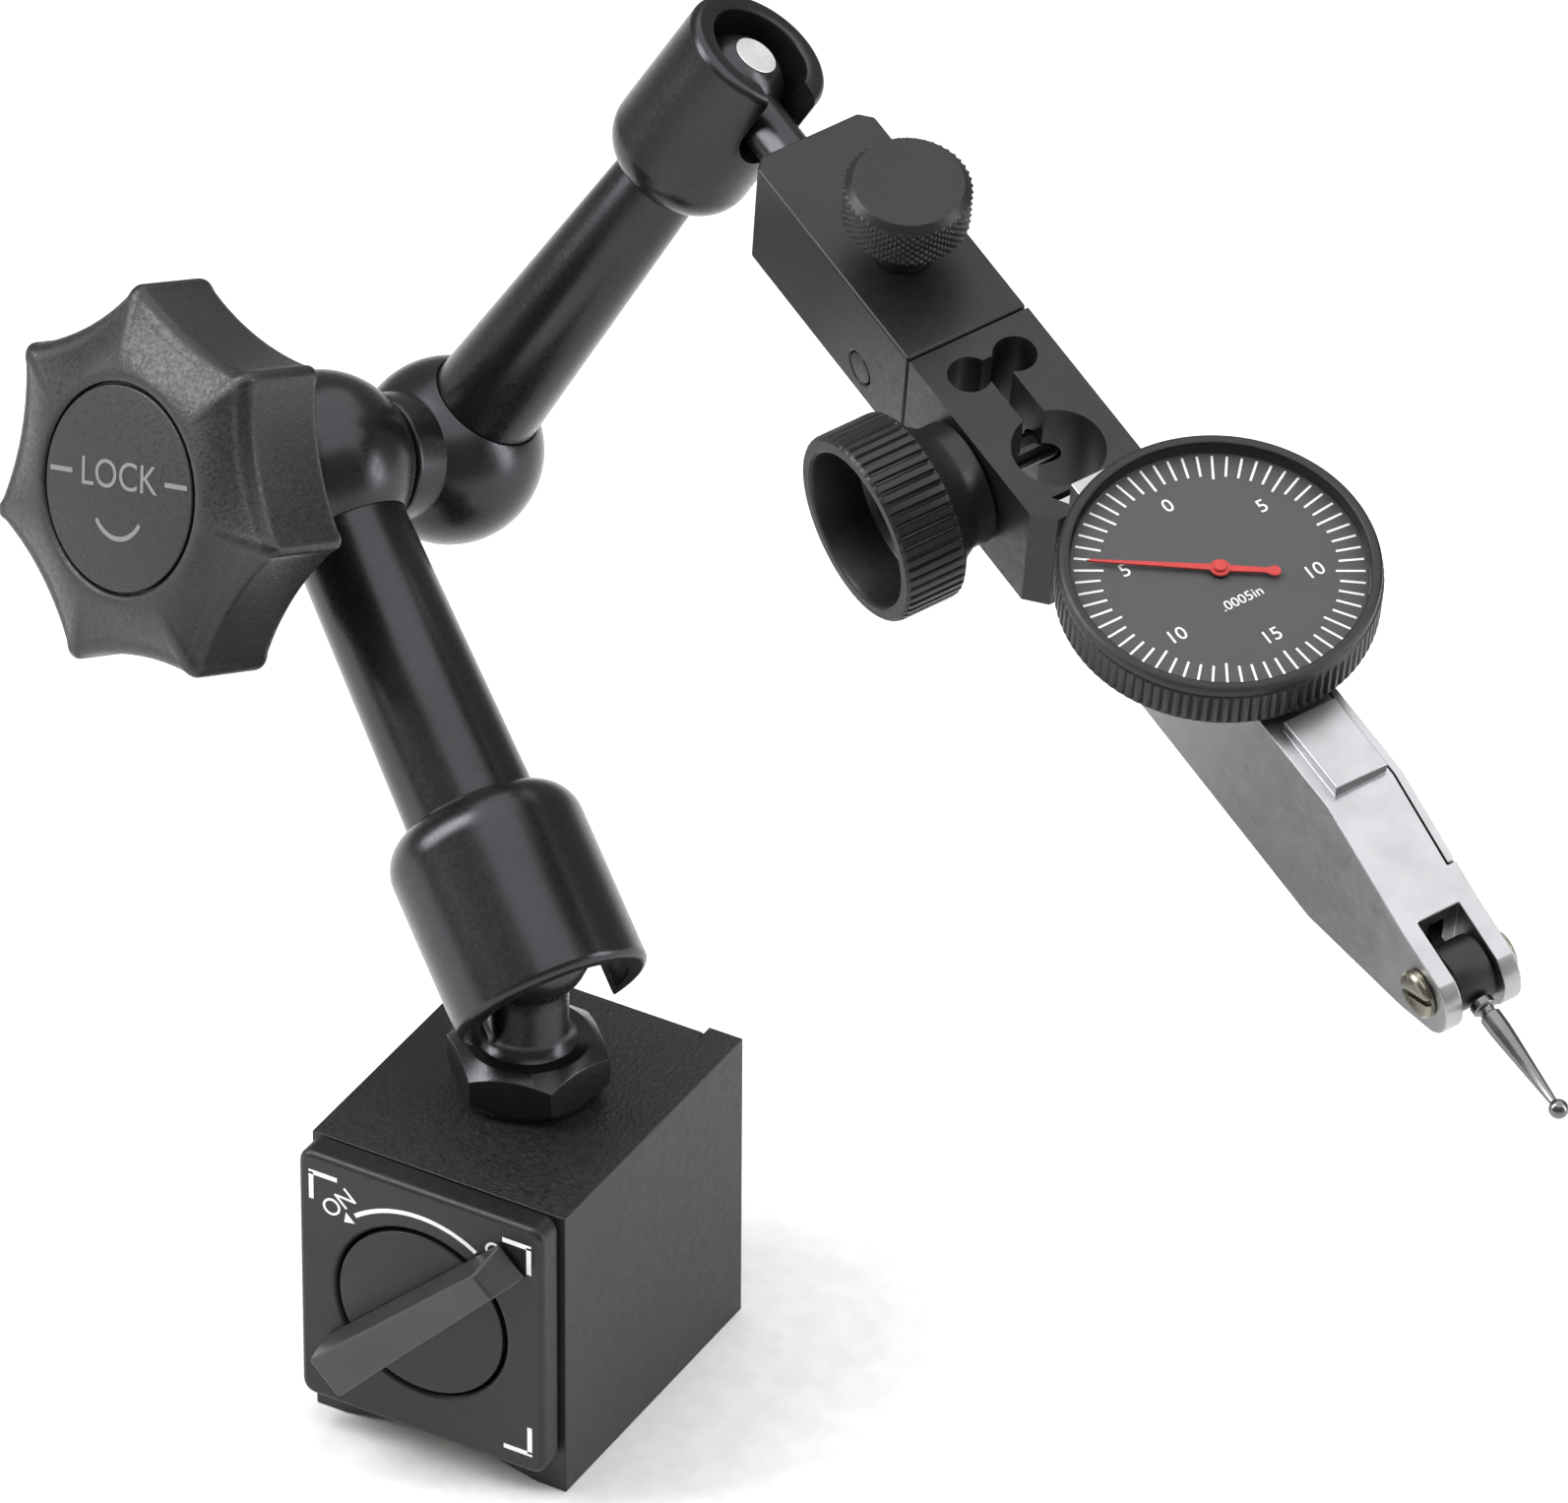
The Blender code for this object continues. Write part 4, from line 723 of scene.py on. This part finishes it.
def star(grow=0.0):
    """Lobed outline with round scallops; each tip is rounded where two scallops would meet."""
    lobes = 7
    per_lobe = 64
    tip_radius = 20.8
    valley = 17.4
    half = math.pi / lobes
    tip = (tip_radius * math.cos(half), tip_radius * math.sin(half))
    far = (tip[0] ** 2 + tip[1] ** 2 - valley ** 2) / (2 * (tip[0] - valley))
    bend = far - valley
    limit = tip_radius - 0.35
    soft = 0.55
    points = []
    for i in range(lobes * per_lobe):
        angle = 2 * math.pi * (i + 0.5) / (lobes * per_lobe)
        from_valley = (angle % (2 * half)) - half
        reach = far * math.cos(from_valley) - math.sqrt(bend ** 2 - (far * math.sin(from_valley)) ** 2)
        blend = max(0.0, min(1.0, 0.5 + (reach - limit) / (2 * soft)))
        reach = reach * (1 - blend) + limit * blend + soft * blend * (1 - blend)
        reach = min(reach, tip_radius) + grow
        turn = angle + math.radians(KNOB_TURN)
        points.append((reach * math.cos(turn), reach * math.sin(turn)))
    return points


def toward_circle(outline, radius, share):
    """Moves an outline towards a circle: share 0 leaves it, and share 1 is the circle."""
    points = []
    for u, v in outline:
        reach = math.hypot(u, v)
        new = reach * (1 - share) + radius * share
        points.append((u / reach * new, v / reach * new))
    return points


def make_knob():
    """Moulded star knob: rounded rim, gently coned face and a printed disc set in a groove."""
    rear = 16.0
    rim = 27.2
    face = 28.8
    edge = 1.7
    rings = [(star(-7.0), rear + 0.9), (star(-3.4), rear + 0.1), (star(-edge), rear)]
    for i in range(1, 9):
        angle = math.radians(11.25 * i)
        rings.append((star(-edge * (1 - math.sin(angle))), rear + edge * (1 - math.cos(angle))))
    for i in range(9):
        angle = math.radians(11.25 * i)
        rings.append((star(-edge * (1 - math.cos(angle))), rim - edge * (1 - math.sin(angle))))
    groove = 10.9
    for i in range(1, 13):
        t = i / 12
        height = rim + (face - rim) * (1 - (1 - t) ** 1.4)
        rings.append((toward_circle(star(-edge), groove + 0.9, t), height))
    base = star()
    for wider, lower in ((0.3, 0.0), (0.08, 0.1), (0.0, 0.35), (0.0, 1.0)):
        rings.append((toward_circle(base, groove + wider, 1), face - lower))
    knob = piece("knob_grip", stack_mesh(rings), ELBOW, "knob", PLASTIC, ["star_knob"], 50)
    combined(knob, [(prism_mesh(circle(4.9), rear - 2, 24.8), ELBOW)])
    knob.data.shade_smooth()
    knob.data.set_sharp_from_angle(angle=math.radians(50))
    disc = rounded([(0, face - 0.8), (10.6, face - 0.8), (10.6, face - 0.05), (0, face - 0.05)], 0.2)
    badge_disc = turned_mesh(disc, segments=128)
    piece("knob_badge", badge_disc, ELBOW, "knob", PLASTIC, ["knob_disc"])
    up = ELBOW.to_3x3().inverted() @ Vector((0, 0, 1))
    level = math.atan2(up.y, up.x) - math.pi / 2
    badge = ELBOW @ Matrix.Rotation(level + math.radians(KNOB_TURN), 4, "Z")
    at = shifted(badge, 0, 0, face - 0.035)
    dash = 8.3
    for name, side in (("badge_dash_left", -1), ("badge_dash_right", 1)):
        low = (side * dash - 1.6, 0.9, 0)
        high = (side * dash + 1.6, 1.4, PRINT)
        piece(name, block_mesh(low, high), at, "knob", GREY_PRINT)
    text_piece("badge_lock", "LOCK", 4.2, shifted(at, 0, 1.2, PRINT / 2), "knob", GREY_PRINT)
    bow = [(u * 0.92, v - 1.0) for u, v in arc(4.4, 215, 325, 24)]
    inner = [(u * 0.92, v - 1.0) for u, v in arc(3.9, 325, 215, 24)]
    piece("badge_arc", prism_mesh(bow + inner, 0, PRINT), at, "knob", GREY_PRINT)


# ---------------------------------------------------------------- head

def make_ball_stem():
    back = -88.0
    radius = 5.15
    stem = 2.6
    neck = math.degrees(math.asin(stem / radius))
    profile = [(0, back - radius)]
    profile += [(r, back - (z - back)) for r, z in sphere_arc(radius, 3, 180 - neck, 50, back)]
    profile += [(stem, -76.0), (2.9, -75.2), (2.9, -74.2), (2.6, -74.0), (2.6, -69.0), (0, -69.0)]
    at = shifted(HEAD, 0, 0, BAR_MIDDLE)
    turned = turned_mesh(profile, "X", segments=128)
    ball = piece("stem_ball", turned, at, "head_stem", SATIN, ["head_ball_stem"])
    up = HEAD.to_3x3().inverted() @ UPPER_AXIS
    level = Matrix.Translation(Vector((back, 0, 0)) * MM) @ up.to_track_quat("Z", "Y").to_matrix().to_4x4()
    flat = 4.55
    combined(ball, [(prism_mesh(circle(4, 64), flat, 8), at @ level)])
    softened(ball, 0.08, 2, 30)
    facet = turned_mesh([(0, 4.59), (2.28, 4.59), (2.32, flat), (2.32, 4.5), (0, 4.5)])
    piece("stem_ball_facet", facet, at @ level, "head_stem", MACHINED)


def make_rear_block():
    rear = -74.0
    seam = -44.45
    outline = [(rear + 1.3, -7.0), (seam, -7.0), (seam, 7.0), (rear + 1.3, 7.0), (rear, 5.7), (rear, -5.7)]
    block = prism_mesh(outline, BAR_BOTTOM, BAR_TOP)
    bar = piece("adjuster_block", block, HEAD, "rear_block", ANODISED, ["rear_block"])
    tools = [
        (block_mesh((-63, -2.8, -26), (-43, 2.8, -15.5)), HEAD),
        (prism_mesh(circle(1.82, 64, ROCK_PIN), -8, 8, "Y"), HEAD),
        (prism_mesh(circle(1.8, 48, (FINE_SCREW, 0)), -16.5, -9), HEAD),
        (prism_mesh(circle(1.7, 32, (-48.6, 0)), -16.5, -12.2), HEAD),
        (prism_mesh(circle(2.75, 64, (0, BAR_MIDDLE)), -75, -68.6, "X"), HEAD),
    ]
    softened(combined(bar, tools), 0.35, 3, 34)
    profile = rounded([(0, -6.95), (1.7, -6.95), (1.7, 6.95), (0, 6.95)], 0.15)
    pin = turned_mesh(profile, "Y", ROCK_PIN, 64)
    piece("adjuster_pin", pin, HEAD, "rear_block", ANODISED, ["pivot_pin"])


def diamond_knurl(radius, low, high, count, depth):
    """The side of a diamond-knurled head: rings whose radius follows two crossed sets of grooves."""
    per_tooth = 6
    segments = count * per_tooth
    pitch = 2 * math.pi * radius / count
    steps = max(4, int((high - low) / (pitch / per_tooth)))
    rings = []
    for k in range(steps + 1):
        height = low + (high - low) * k / steps
        points = []
        for i in range(segments):
            turn = i / per_tooth
            rise = (height - low) / pitch
            first = abs(((turn + rise) % 1.0) - 0.5) * 2
            second = abs(((turn - rise) % 1.0) - 0.5) * 2
            sink = depth * (1 - min(first, second)) if 0 < k < steps else depth
            reach = radius - sink * 0.9
            angle = 2 * math.pi * i / segments
            points.append((reach * math.cos(angle), reach * math.sin(angle)))
        rings.append((points, height))
    return rings


def make_fine_screw():
    at = shifted(HEAD, FINE_SCREW, 0, 0)
    radius = 6.55
    count = 46
    segments = count * 6
    rings = [(circle(1.5, segments), -16.2), (circle(1.5, segments), -10.6), (circle(3.0, segments), -10.6),
             (circle(3.0, segments), -6.3), (circle(3.3, segments), -6.0), (circle(5.5, segments), -6.0),
             (circle(5.7, segments), -5.95), (circle(radius - 0.35, segments), -5.4)]
    rings += diamond_knurl(radius, -5.35, -0.75, count, 0.32)
    rings += [(circle(radius - 0.35, segments), -0.7), (circle(radius - 0.75, segments), -0.12),
              (circle(radius - 0.95, segments), 0.0), (circle(2.0, segments), 0.0)]
    head = stack_mesh(rings)
    piece("fine_screw_head", head, at, "fine_screw", ANODISED, ["fine_adjust_screw"], 28)


def make_front_block():
    low = -44.15
    high = -20.0
    outline = [(low, -7.0), (high - 2, -7.0), (high, -5.0), (high, 5.0), (high - 2, 7.0), (low, 7.0)]
    block = prism_mesh(outline, BAR_BOTTOM, BAR_TOP)
    bar = piece("clamp_block", block, HEAD, "holder", ANODISED, ["front_block"])
    combined(bar, [(block_mesh((-62, -2.5, -24.2), (low + 1, 2.5, -16.5)), HEAD)], "UNION")
    mouth = [(high + 1, -2.4), (high + 1, 2.4), (high - 0.2, 2.4)]
    mouth += [(high - 2.7, 4.0), (high - 2.7, -4.0), (high - 0.2, -2.4)]
    tools = [
        (prism_mesh(circle(1.82, 64, ROCK_PIN), -5, 5, "Y"), HEAD),
        (prism_mesh(circle(2.25, 64, (-39.8, 2.66)), -26, -9), HEAD),
        (prism_mesh(circle(2.25, 64, (-39.8, -2.66)), -26, -9), HEAD),
        (block_mesh((-40.7, -2.66, -26), (-38.9, 2.66, -9)), HEAD),
        (block_mesh((-39.8, -1.25, -26), (high + 1, 1.25, -9)), HEAD),
        (prism_mesh(circle(4.75, 96, (-27.6, 0)), -26, -9), HEAD),
        (prism_mesh(circle(2.0, 48, (BAR_MIDDLE, -33.2)), -8, 6.2, "Y"), HEAD),
        (prism_mesh(mouth, -26, -9), HEAD),
    ]
    softened(combined(bar, tools), 0.3, 3, 34)


def make_clamp_knob():
    """Hollow knob: the ring behind, the deep bore, and straight flutes cut round the rim."""
    at = shifted(HEAD, -33.2, 0, BAR_MIDDLE)
    flutes = 52
    per_flute = 8
    segments = flutes * per_flute
    lip = fluted(9.95, 0.1, flutes, per_flute, 0.6)
    grip = fluted(10.0, 0.42, flutes, per_flute, 0.6)
    end = fluted(9.9, 0.1, flutes, per_flute, 0.6)
    rings = [(circle(2.0, segments), -7.3), (circle(6.3, segments), -7.3), (circle(6.5, segments), -7.5),
             (circle(6.5, segments), -9.4), (circle(6.7, segments), -9.9), (circle(7.6, segments), -11.4),
             (circle(9.3, segments), -12.75), (circle(9.55, segments), -12.9), (lip, -13.25),
             (grip, -13.6), (grip, -19.2), (end, -19.6),
             (circle(9.6, segments), -19.9), (circle(8.6, segments), -19.9), (circle(8.35, segments), -19.75),
             (circle(8.2, segments), -19.4), (circle(8.0, segments), -14.4), (circle(7.5, segments), -13.8),
             (circle(3.5, segments), -13.8), (circle(3.4, segments), -14.1), (circle(3.2, segments), -15.1),
             (circle(2.0, segments), -15.3)]
    knob = stack_mesh(rings, "Y")
    piece("clamp_knob_fluted", knob, at, "clamp", ANODISED, ["clamp_knob"], 28)


# ---------------------------------------------------------------- indicator

def side_outline(points):
    """Swaps (along the bar, height) points into the order that a prism along Y takes."""
    return [(height, reach) for reach, height in points]


def lever_frame():
    return shifted(HEAD, LEVER_PIVOT[1], 0, LEVER_PIVOT[0])


def make_indicator_body():
    top = CASE_TOP
    bottom = CASE_BOTTOM
    rear = -19.4
    half = 4.35
    points = [(rear, top), (rear, bottom), (25.5, bottom), (41.0, -19.7)]
    points += arc(4.1, -62, 62, 24, (44.2, -14.2))
    points += [(39.9, -9.3), (26.2, top)]
    case = prism_mesh(side_outline(points), -half, half, "Y")
    body = piece("indicator_case", case, HEAD, "holder", CHROME, ["indicator_body"])
    tail = [(rear + 1, -2.0), (rear + 1, 2.0), (-20.1, 2.0), (-22.3, 3.5), (-22.3, -3.5), (-20.1, -2.0)]
    combined(body, [
        (prism_mesh(tail, -23.2, -11.2), HEAD),
        (block_mesh((16.3, -2.95, -6.0), (25.6, 2.95, -3.6)), HEAD),
    ], "UNION")
    slope = (9.3 - 4.9) / (39.9 - 26.2)
    cover_end = 36.0
    pocket = [(-17.0, 0), (-17.0, -26), (cover_end, -26), (cover_end, 0)]
    room = [(-14.0, -8.2), (-14.0, -20.5), (20.0, -20.5), (33.5, -18.6), (33.5, -10.4), (25.0, -8.2)]
    tools = [
        (prism_mesh(side_outline(pocket), 3.35, 6.0, "Y"), HEAD),
        (prism_mesh(side_outline(room), -3.2, 6.0, "Y"), HEAD),
        (block_mesh((30, -0.9, -17.6), (41, 0.9, -10.8)), HEAD),
        (block_mesh((39.6, -2.4, -26), (53, 2.4, 0)), HEAD),
        (prism_mesh(circle(1.5, 48, LEVER_PIVOT), -8, 8, "Y"), HEAD),
        (prism_mesh(circle(1.9, 48), -9, -4), HEAD),
    ]
    softened(combined(body, tools), 0.22, 3, 22)
    end = cover_end - 0.12
    cover = [(-16.9, top + 0.02), (-16.9, bottom), (25.5, bottom), (end, bottom + (end - 25.5) * 4.0 / 16.3)]
    cover += [(end, top - (end - 26.2) * slope + 0.02), (26.2, top + 0.02)]
    sheet = prism_mesh(side_outline(cover), 3.5, half, "Y")
    plate = piece("side_cover", sheet, HEAD, "holder", CHROME, ["body_cover"])
    softened(plate, 0.15, 2, 25)
    for name, node, side in (("screw_left", "pivot_screw_left", 1), ("screw_right", "pivot_screw_right", -1)):
        make_pivot_screw(name, node, side)


def make_pivot_screw(name, node, side):
    face = 4.45
    head = face + 0.9
    profile = [(0, 1.3), (1.1, 1.9), (1.2, face), (2.5, face), (2.5, head - 0.3), (2.2, head), (0, head)]
    profile = [(r, side * z) for r, z in profile]
    screw = piece(name, turned_mesh(profile, "Y", LEVER_PIVOT, 72), HEAD, "holder", NICKEL, [node])
    low = min(side * (head - 0.55), side * (head + 1))
    high = max(side * (head - 0.55), side * (head + 1))
    turn = lever_frame() @ Matrix.Rotation(math.radians(28 * side), 4, "Y")
    combined(screw, [(block_mesh((-3, low, -0.32), (3, high, 0.32)), turn)])
    softened(screw, 0.08, 2, 30)


def make_bezel():
    """Knurled ring: a plain lip in front, straight flutes on its side, and a stepped bore."""
    flutes = 100
    per_flute = 6
    segments = flutes * per_flute
    edge = fluted(15.95, 0.05, flutes, per_flute, 0.7)
    grip = fluted(16.0, 0.34, flutes, per_flute, 0.7)
    bottom = -3.9
    top = 1.6
    back = [(14.9, bottom), (15.3, bottom), (15.55, bottom + 0.15)]
    front = [(15.8, top - 1.05), (15.8, top - 0.45), (15.7, top - 0.2), (15.45, top - 0.03), (15.3, top)]
    front += [(14.95, top), (14.75, top - 0.1), (14.68, top - 0.3), (14.68, 1.4), (14.9, 1.36)]
    rings = [(circle(radius, segments), height) for radius, height in back]
    rings += [(edge, bottom + 0.5), (grip, bottom + 0.8), (grip, top - 1.5), (edge, top - 1.2)]
    rings += [(circle(radius, segments), height) for radius, height in front]
    bm = bmesh.new()
    loops = [[bm.verts.new((u, v, height)) for u, v in outline] for outline, height in rings]
    for low, high in zip(loops, loops[1:] + loops[:1]):
        for i in range(segments):
            j = (i + 1) % segments
            bm.faces.new((low[i], low[j], high[j], high[i]))
    piece("bezel_ring", bm, HEAD, "bezel", ANODISED, ["bezel"], 28)


def around(angle, radius):
    """A point of the dial, by degrees clockwise from the mark furthest from the stylus."""
    turn = math.radians(angle)
    return (-radius * math.cos(turn), radius * math.sin(turn))


def make_dial():
    face = rounded([(1.0, -0.4), (14.6, -0.4), (14.6, 0), (1.0, 0)], 0.1)
    piece("dial_plate", turned_mesh(face, segments=128), HEAD, "bezel", DIAL, ["dial_face"])
    bm = bmesh.new()
    divisions = 60
    half = 0.12
    outer = 14.2
    for i in range(divisions):
        inner = 11.3 if i % 5 == 0 else 11.7
        out = Vector(around(360.0 * i / divisions, 1.0))
        side = Vector((-out.y, out.x)) * half
        add_slab(bm, [out * inner + side, out * inner - side, out * outer - side, out * outer + side])
    piece("dial_marks", bm, HEAD, "bezel", WHITE)
    upright = Matrix.Rotation(math.radians(90), 4, "Z")
    for i, number in enumerate((0, 5, 10, 15, 10, 5)):
        u, v = around(60 * i, 9.2)
        at = shifted(HEAD, u, v, PRINT / 2) @ upright
        text_piece(f"dial_number_{i}", str(number), 2.2, at, "bezel", WHITE)
    at = shifted(HEAD, 4.0, 0, PRINT / 2) @ upright
    text_piece("dial_division", ".0005in", 1.6, at, "bezel", WHITE)
    glass = rounded([(0, 0.95), (14.6, 0.95), (14.6, 1.35), (0, 1.35)], 0.1)
    piece("dial_window", turned_mesh(glass, segments=128), HEAD, "bezel", CLEAR, ["crystal"])


def make_pointer():
    blade = 13.0
    tail = 5.3
    outline = [(blade, 0.0), (blade - 0.5, 0.14), (1.0, 0.36)] + arc(1.0, 22, 158, 14)
    outline += [(-tail + 0.9, 0.3)] + arc(0.62, 50, 310, 16, (-tail, 0.0))
    outline += [(-tail + 0.9, -0.3)] + arc(1.0, 202, 338, 14) + [(1.0, -0.36), (blade - 0.5, -0.14)]
    at = HEAD @ Matrix.Rotation(math.radians(-124.0), 4, "Z")
    hand = prism_mesh(outline, 0.35, 0.6)
    softened(piece("pointer_hand", hand, at, "pointer", RED, ["pointer"]), 0.05, 2, 30)
    cap = rounded([(0, 0.6), (0.62, 0.6), (0.62, 0.88), (0.3, 0.92), (0, 0.92)], 0.1)
    piece("pointer_cap", turned_mesh(cap, segments=48), at, "pointer", RED)


def make_lever():
    at = lever_frame()
    profile = rounded([(1.4, -2.1), (3.4, -2.1), (3.4, 2.1), (1.4, 2.1)], 0.3)
    barrel = turned_mesh(profile, "Y", segments=96)
    hub = piece("stylus_barrel", barrel, at, "lever", ANODISED, ["lever_hub"])
    reach = LEVER_PIVOT[1] - 1.37
    outline = [(-2.5, 1.0), (-reach + 1.5, 0.7), (-reach + 1.0, 2.6)] + arc(reach, 176.6, 183.4, 12)
    outline += [(-reach + 1.0, -2.6), (-reach + 1.5, -0.7), (-2.5, -1.0)]
    combined(hub, [(prism_mesh(side_outline(outline), -0.5, 0.5, "Y"), at)], "UNION")
    hub.data.shade_smooth()
    hub.data.set_sharp_from_angle(angle=math.radians(30))


def make_stylus():
    at = lever_frame() @ Matrix.Rotation(math.radians(94.6), 4, "Y")
    tip = 17.36
    thin = 0.42
    ball = 0.98
    angle = math.degrees(math.asin(thin / ball))
    profile = [(0, 3.7), (1.15, 3.7), (1.25, 3.8), (1.25, 4.5)]
    profile += [(1.15, 4.6), (0.85, 4.7), (0.8, 4.8), (0.8, 5.25)]
    profile += [(1.0, 5.4), (1.1, 5.5), (1.1, 7.2), (0.98, 9.0)]
    profile += [(thin, tip - ball * math.cos(math.radians(angle)) - 0.1)]
    profile += [(r, tip - (z - tip)) for r, z in sphere_arc(ball, angle + 3, 177, 28, tip)]
    profile.append((0, tip + ball))
    piece("stylus_needle", turned_mesh(profile, segments=64), at, "stylus", POLISHED, ["stylus"])


# ---------------------------------------------------------------- carried-over pieces

CARRIED = {
    "pole_separator": BRASS, "rotor_bushing": BRASS, "stud_washer": SATIN, "rotor_shaft": POLISHED,
    "rotor_magnet": MAGNET, "lower_ball_seat": BRASS, "lower_push_rod": POLISHED, "lower_wedge": BRASS,
    "knob_insert": BRASS, "elbow_bolt": POLISHED, "upper_wedge": BRASS, "upper_push_rod": POLISHED,
    "upper_ball_seat": BRASS, "return_spring": POLISHED, "dial_case": CHROME, "arbor_jewel": JEWEL,
    "clamp_screw": SATIN, "crown_wheel": BRASS, "pointer_arbor": POLISHED,
}


def finish_carried():
    for name, mat in CARRIED.items():
        mesh = frame["nodes"][name].data
        mesh.materials.clear()
        mesh.materials.append(mat)
        mesh.shade_smooth()
        mesh.set_sharp_from_angle(angle=math.radians(35))


# ---------------------------------------------------------------- studio

CAMERA_AZIMUTH = 29.53
CAMERA_ELEVATION = 34.85
CAMERA_ROLL = 0.48
CAMERA_DISTANCE = 1.3126
CAMERA_LENS = 293.8
CAMERA_AIM = (0.02619, 0.03413)  # how far right of and above the base's top the view is centred


def make_camera():
    a = math.radians(CAMERA_AZIMUTH)
    e = math.radians(CAMERA_ELEVATION)
    right = Vector((math.cos(a), math.sin(a), 0))
    back = Vector((math.sin(a) * math.cos(e), -math.cos(a) * math.cos(e), math.sin(e)))
    tilt = Matrix.Rotation(math.radians(CAMERA_ROLL), 3, back)
    right = tilt @ right
    up = back.cross(right)
    data = bpy.data.cameras.new("camera")
    data.lens = CAMERA_LENS
    data.sensor_width = 36.0
    data.clip_start = 0.01
    data.clip_end = 50.0
    camera = bpy.data.objects.new("camera", data)
    bpy.context.scene.collection.objects.link(camera)
    top = Vector((0, 0, 0.035))
    camera.location = top + right * CAMERA_AIM[0] + up * CAMERA_AIM[1] + back * CAMERA_DISTANCE
    camera.rotation_mode = "QUATERNION"
    camera.rotation_quaternion = Matrix((right, up, back)).transposed().to_quaternion()
    bpy.context.scene.camera = camera
    return right, up, back


def area_light(name, position, target, size, power):
    data = bpy.data.lights.new(name, "AREA")
    data.shape = "RECTANGLE"
    data.size = size[0]
    data.size_y = size[1]
    data.energy = power
    obj = bpy.data.objects.new(name, data)
    bpy.context.scene.collection.objects.link(obj)
    obj.location = position
    obj.rotation_mode = "QUATERNION"
    obj.rotation_quaternion = (Vector(target) - Vector(position)).to_track_quat("-Z", "Y")


def make_studio():
    right, up, back = make_camera()
    centre = Vector((0.03, 0.01, 0.08))
    world = bpy.data.worlds.new("studio")
    bpy.context.scene.world = world
    world.use_nodes = True
    background = world.node_tree.nodes["Background"]
    background.inputs["Color"].default_value = (1.0, 1.0, 1.0, 1.0)
    background.inputs["Strength"].default_value = 0.3
    bpy.context.scene.view_settings.view_transform = "Standard"
    area_light("key", centre - right * 0.55 + up * 0.35 + back * 0.25, centre, (0.3, 0.7), 6.0)
    area_light("fill", centre + right * 0.6 + up * 0.05 + back * 0.2, centre, (0.2, 0.7), 3.0)
    area_light("top", centre + Vector((0.05, 0.1, 0.7)), centre, (1.2, 1.2), 8.0)
    bm = bmesh.new()
    bmesh.ops.create_grid(bm, x_segments=2, y_segments=2, size=3000.0)
    floor_mat = paint("floor", (0.9, 0.9, 0.9), 0.6)
    floor = piece("floor", bm, WORLD, None, floor_mat)
    floor.location.z = -0.00002


make_base()
make_plate_print()
make_switch()
make_ball_stud()
make_arms()
make_elbow()
make_knob()
make_ball_stem()
make_rear_block()
make_fine_screw()
make_front_block()
make_clamp_knob()
make_indicator_body()
make_bezel()
make_dial()
make_pointer()
make_lever()
make_stylus()
finish_carried()
make_studio()
